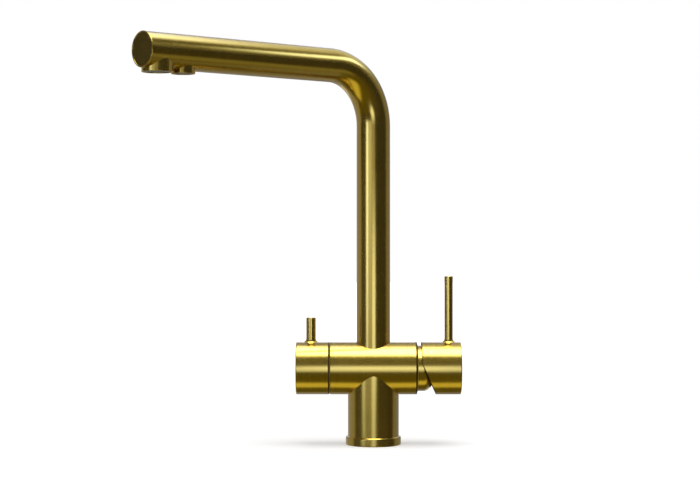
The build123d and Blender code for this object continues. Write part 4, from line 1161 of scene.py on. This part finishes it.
    def world(self) -> None:
        """Surround everything with plain white, dimmer as light than as background."""
        world = bpy.data.worlds.new("studio_world")
        bpy.context.scene.world = world
        world.use_nodes = True
        world.cycles.sampling_method = "NONE"
        graph = Graph(world.node_tree)
        strength = self.fill + self.seen(graph) * (1 - self.fill)
        background = graph.node("ShaderNodeBackground",
                                inputs={"Color": (*WHITE, 1.0), "Strength": strength})
        graph.node("ShaderNodeOutputWorld", inputs={"Surface": background.outputs[0]})

    def white_paper(self, graph: Graph) -> bpy.types.NodeSocket:
        """Make white paper, with the background's own white added for rays that look at it.

        Args:
            graph: the material's graph.

        Returns:
            The shader's socket.
        """
        point = graph.node("ShaderNodeTexCoord").outputs["Object"]
        far = graph.length(point).step(*self.floor_fade)
        grain = graph.noise(point, self.paper_grain, 2.0)
        diffuse = graph.node("ShaderNodeBsdfDiffuse", inputs={
            "Color": graph.blend(grain, *self.paper)})
        glow = graph.node("ShaderNodeEmission", inputs={
            "Strength": self.seen(graph) * (far * (1 - self.near_glow) + self.near_glow)})
        return graph.node("ShaderNodeAddShader",
                          inputs={0: diffuse.outputs[0], 1: glow.outputs[0]}).outputs[0]

    def floor(self) -> None:
        """Lay the white floor, which keeps the tap's shadow and fades into the background."""
        draft = MeshDraft()
        draft.points.extend(on_circle(Vector(), self.floor_r, tau * side / self.floor_sides)
                            for side in range(self.floor_sides))
        draft.faces.append(tuple(range(self.floor_sides)))
        made = draft.build("floor")
        made.data.materials.append(shader_material("white_floor", self.white_paper))
        made.visible_glossy = False

    def surroundings(self, graph: Graph) -> bpy.types.NodeSocket:
        """Give the light that comes from each direction: dark flags with lighter cards among them.

        Args:
            graph: the material's graph.

        Returns:
            The light's colour.
        """
        point = graph.node("ShaderNodeTexCoord").outputs["Object"]
        x, y, z = graph.parts(graph.vector("NORMALIZE", point))
        degrees = 180 / pi
        side = x.angle_from(0 - y) * degrees
        up = z.angle_from((1 - z * z).most(0.0).root()) * degrees
        over = z.angle_from(0 - y) * degrees
        light = self.dark
        for card in self.cards:
            shape = side.within(card.left, card.right, card.soft)
            shape = shape * up.within(card.low, card.high, card.soft)
            light = graph.blend(shape, light, tuple(card.light * part for part in card.tint))
        for long in self.overheads:
            across = 1 - abs(x).step(long.side - self.overhead_edge, long.side + self.overhead_edge)
            shape = over.within(long.front, long.back, long.soft) * across
            light = graph.blend(shape, light, tuple(long.light * part for part in long.tint))
        return light

    def shine(self, graph: Graph) -> bpy.types.NodeSocket:
        """Shine with the light of each direction."""
        light = self.surroundings(graph)
        return graph.node("ShaderNodeEmission", inputs={"Color": light}).outputs[0]

    def tent(self) -> None:
        """Hang the cards and flags round the tap, where only the metal mirrors them."""
        draft = MeshDraft()
        ends = (-self.tent_half, self.tent_half)
        draft.points.extend((x, y, z) for x in ends for y in ends for z in ends)
        draft.faces.extend([(0, 1, 3, 2), (4, 6, 7, 5), (0, 4, 5, 1), (2, 3, 7, 6), (0, 2, 6, 4),
                            (1, 5, 7, 3)])
        made = draft.build("cards_and_flags")
        self.light_card(made, self.shine)
        for card in self.near_cards:
            self.light_card(card.build(), card.surface)

    @staticmethod
    def light_card(card: bpy.types.Object,
                   surface: Callable[[Graph], bpy.types.NodeSocket]) -> None:
        """Light a card, and keep it out of everything but the metal's reflections.

        Args:
            card: the card's object.
            surface: fills a graph and returns the light's shader socket.
        """
        material = shader_material(card.name + "_light", surface)
        material.cycles.emission_sampling = "NONE"
        card.data.materials.append(material)
        card.visible_camera = False
        card.visible_diffuse = False
        card.visible_transmission = False
        card.visible_shadow = False

    def lamp(self) -> None:
        """Hang one soft lamp overhead for the shadow on the floor."""
        data = bpy.data.lights.new("overhead_lamp", "AREA")
        data.shape = "RECTANGLE"
        data.size, data.size_y = self.lamp_size
        data.energy = self.lamp_watts
        made = add_object("overhead_lamp", data)
        made.location = self.lamp_at
        made.rotation_euler = (*map(radians, self.lamp_tilt), 0)
        made.visible_glossy = False
        made.visible_camera = False

    def build(self) -> None:
        """Set the whole studio up."""
        self.camera()
        self.world()
        self.floor()
        self.tent()
        self.lamp()


def main() -> None:
    """Dress the tap, add what the CAD part leaves out, and light it."""
    logging.basicConfig(level=logging.INFO, format="%(name)s: %(message)s")
    finisher = Finisher()
    body = TapBody(finisher)
    body.dress()
    body.build()
    Handles(finisher).dress()
    spout = SwivelSpout(finisher)
    spout.dress()
    spout.build()
    Studio().build()


if __name__ == "__main__":
    main()
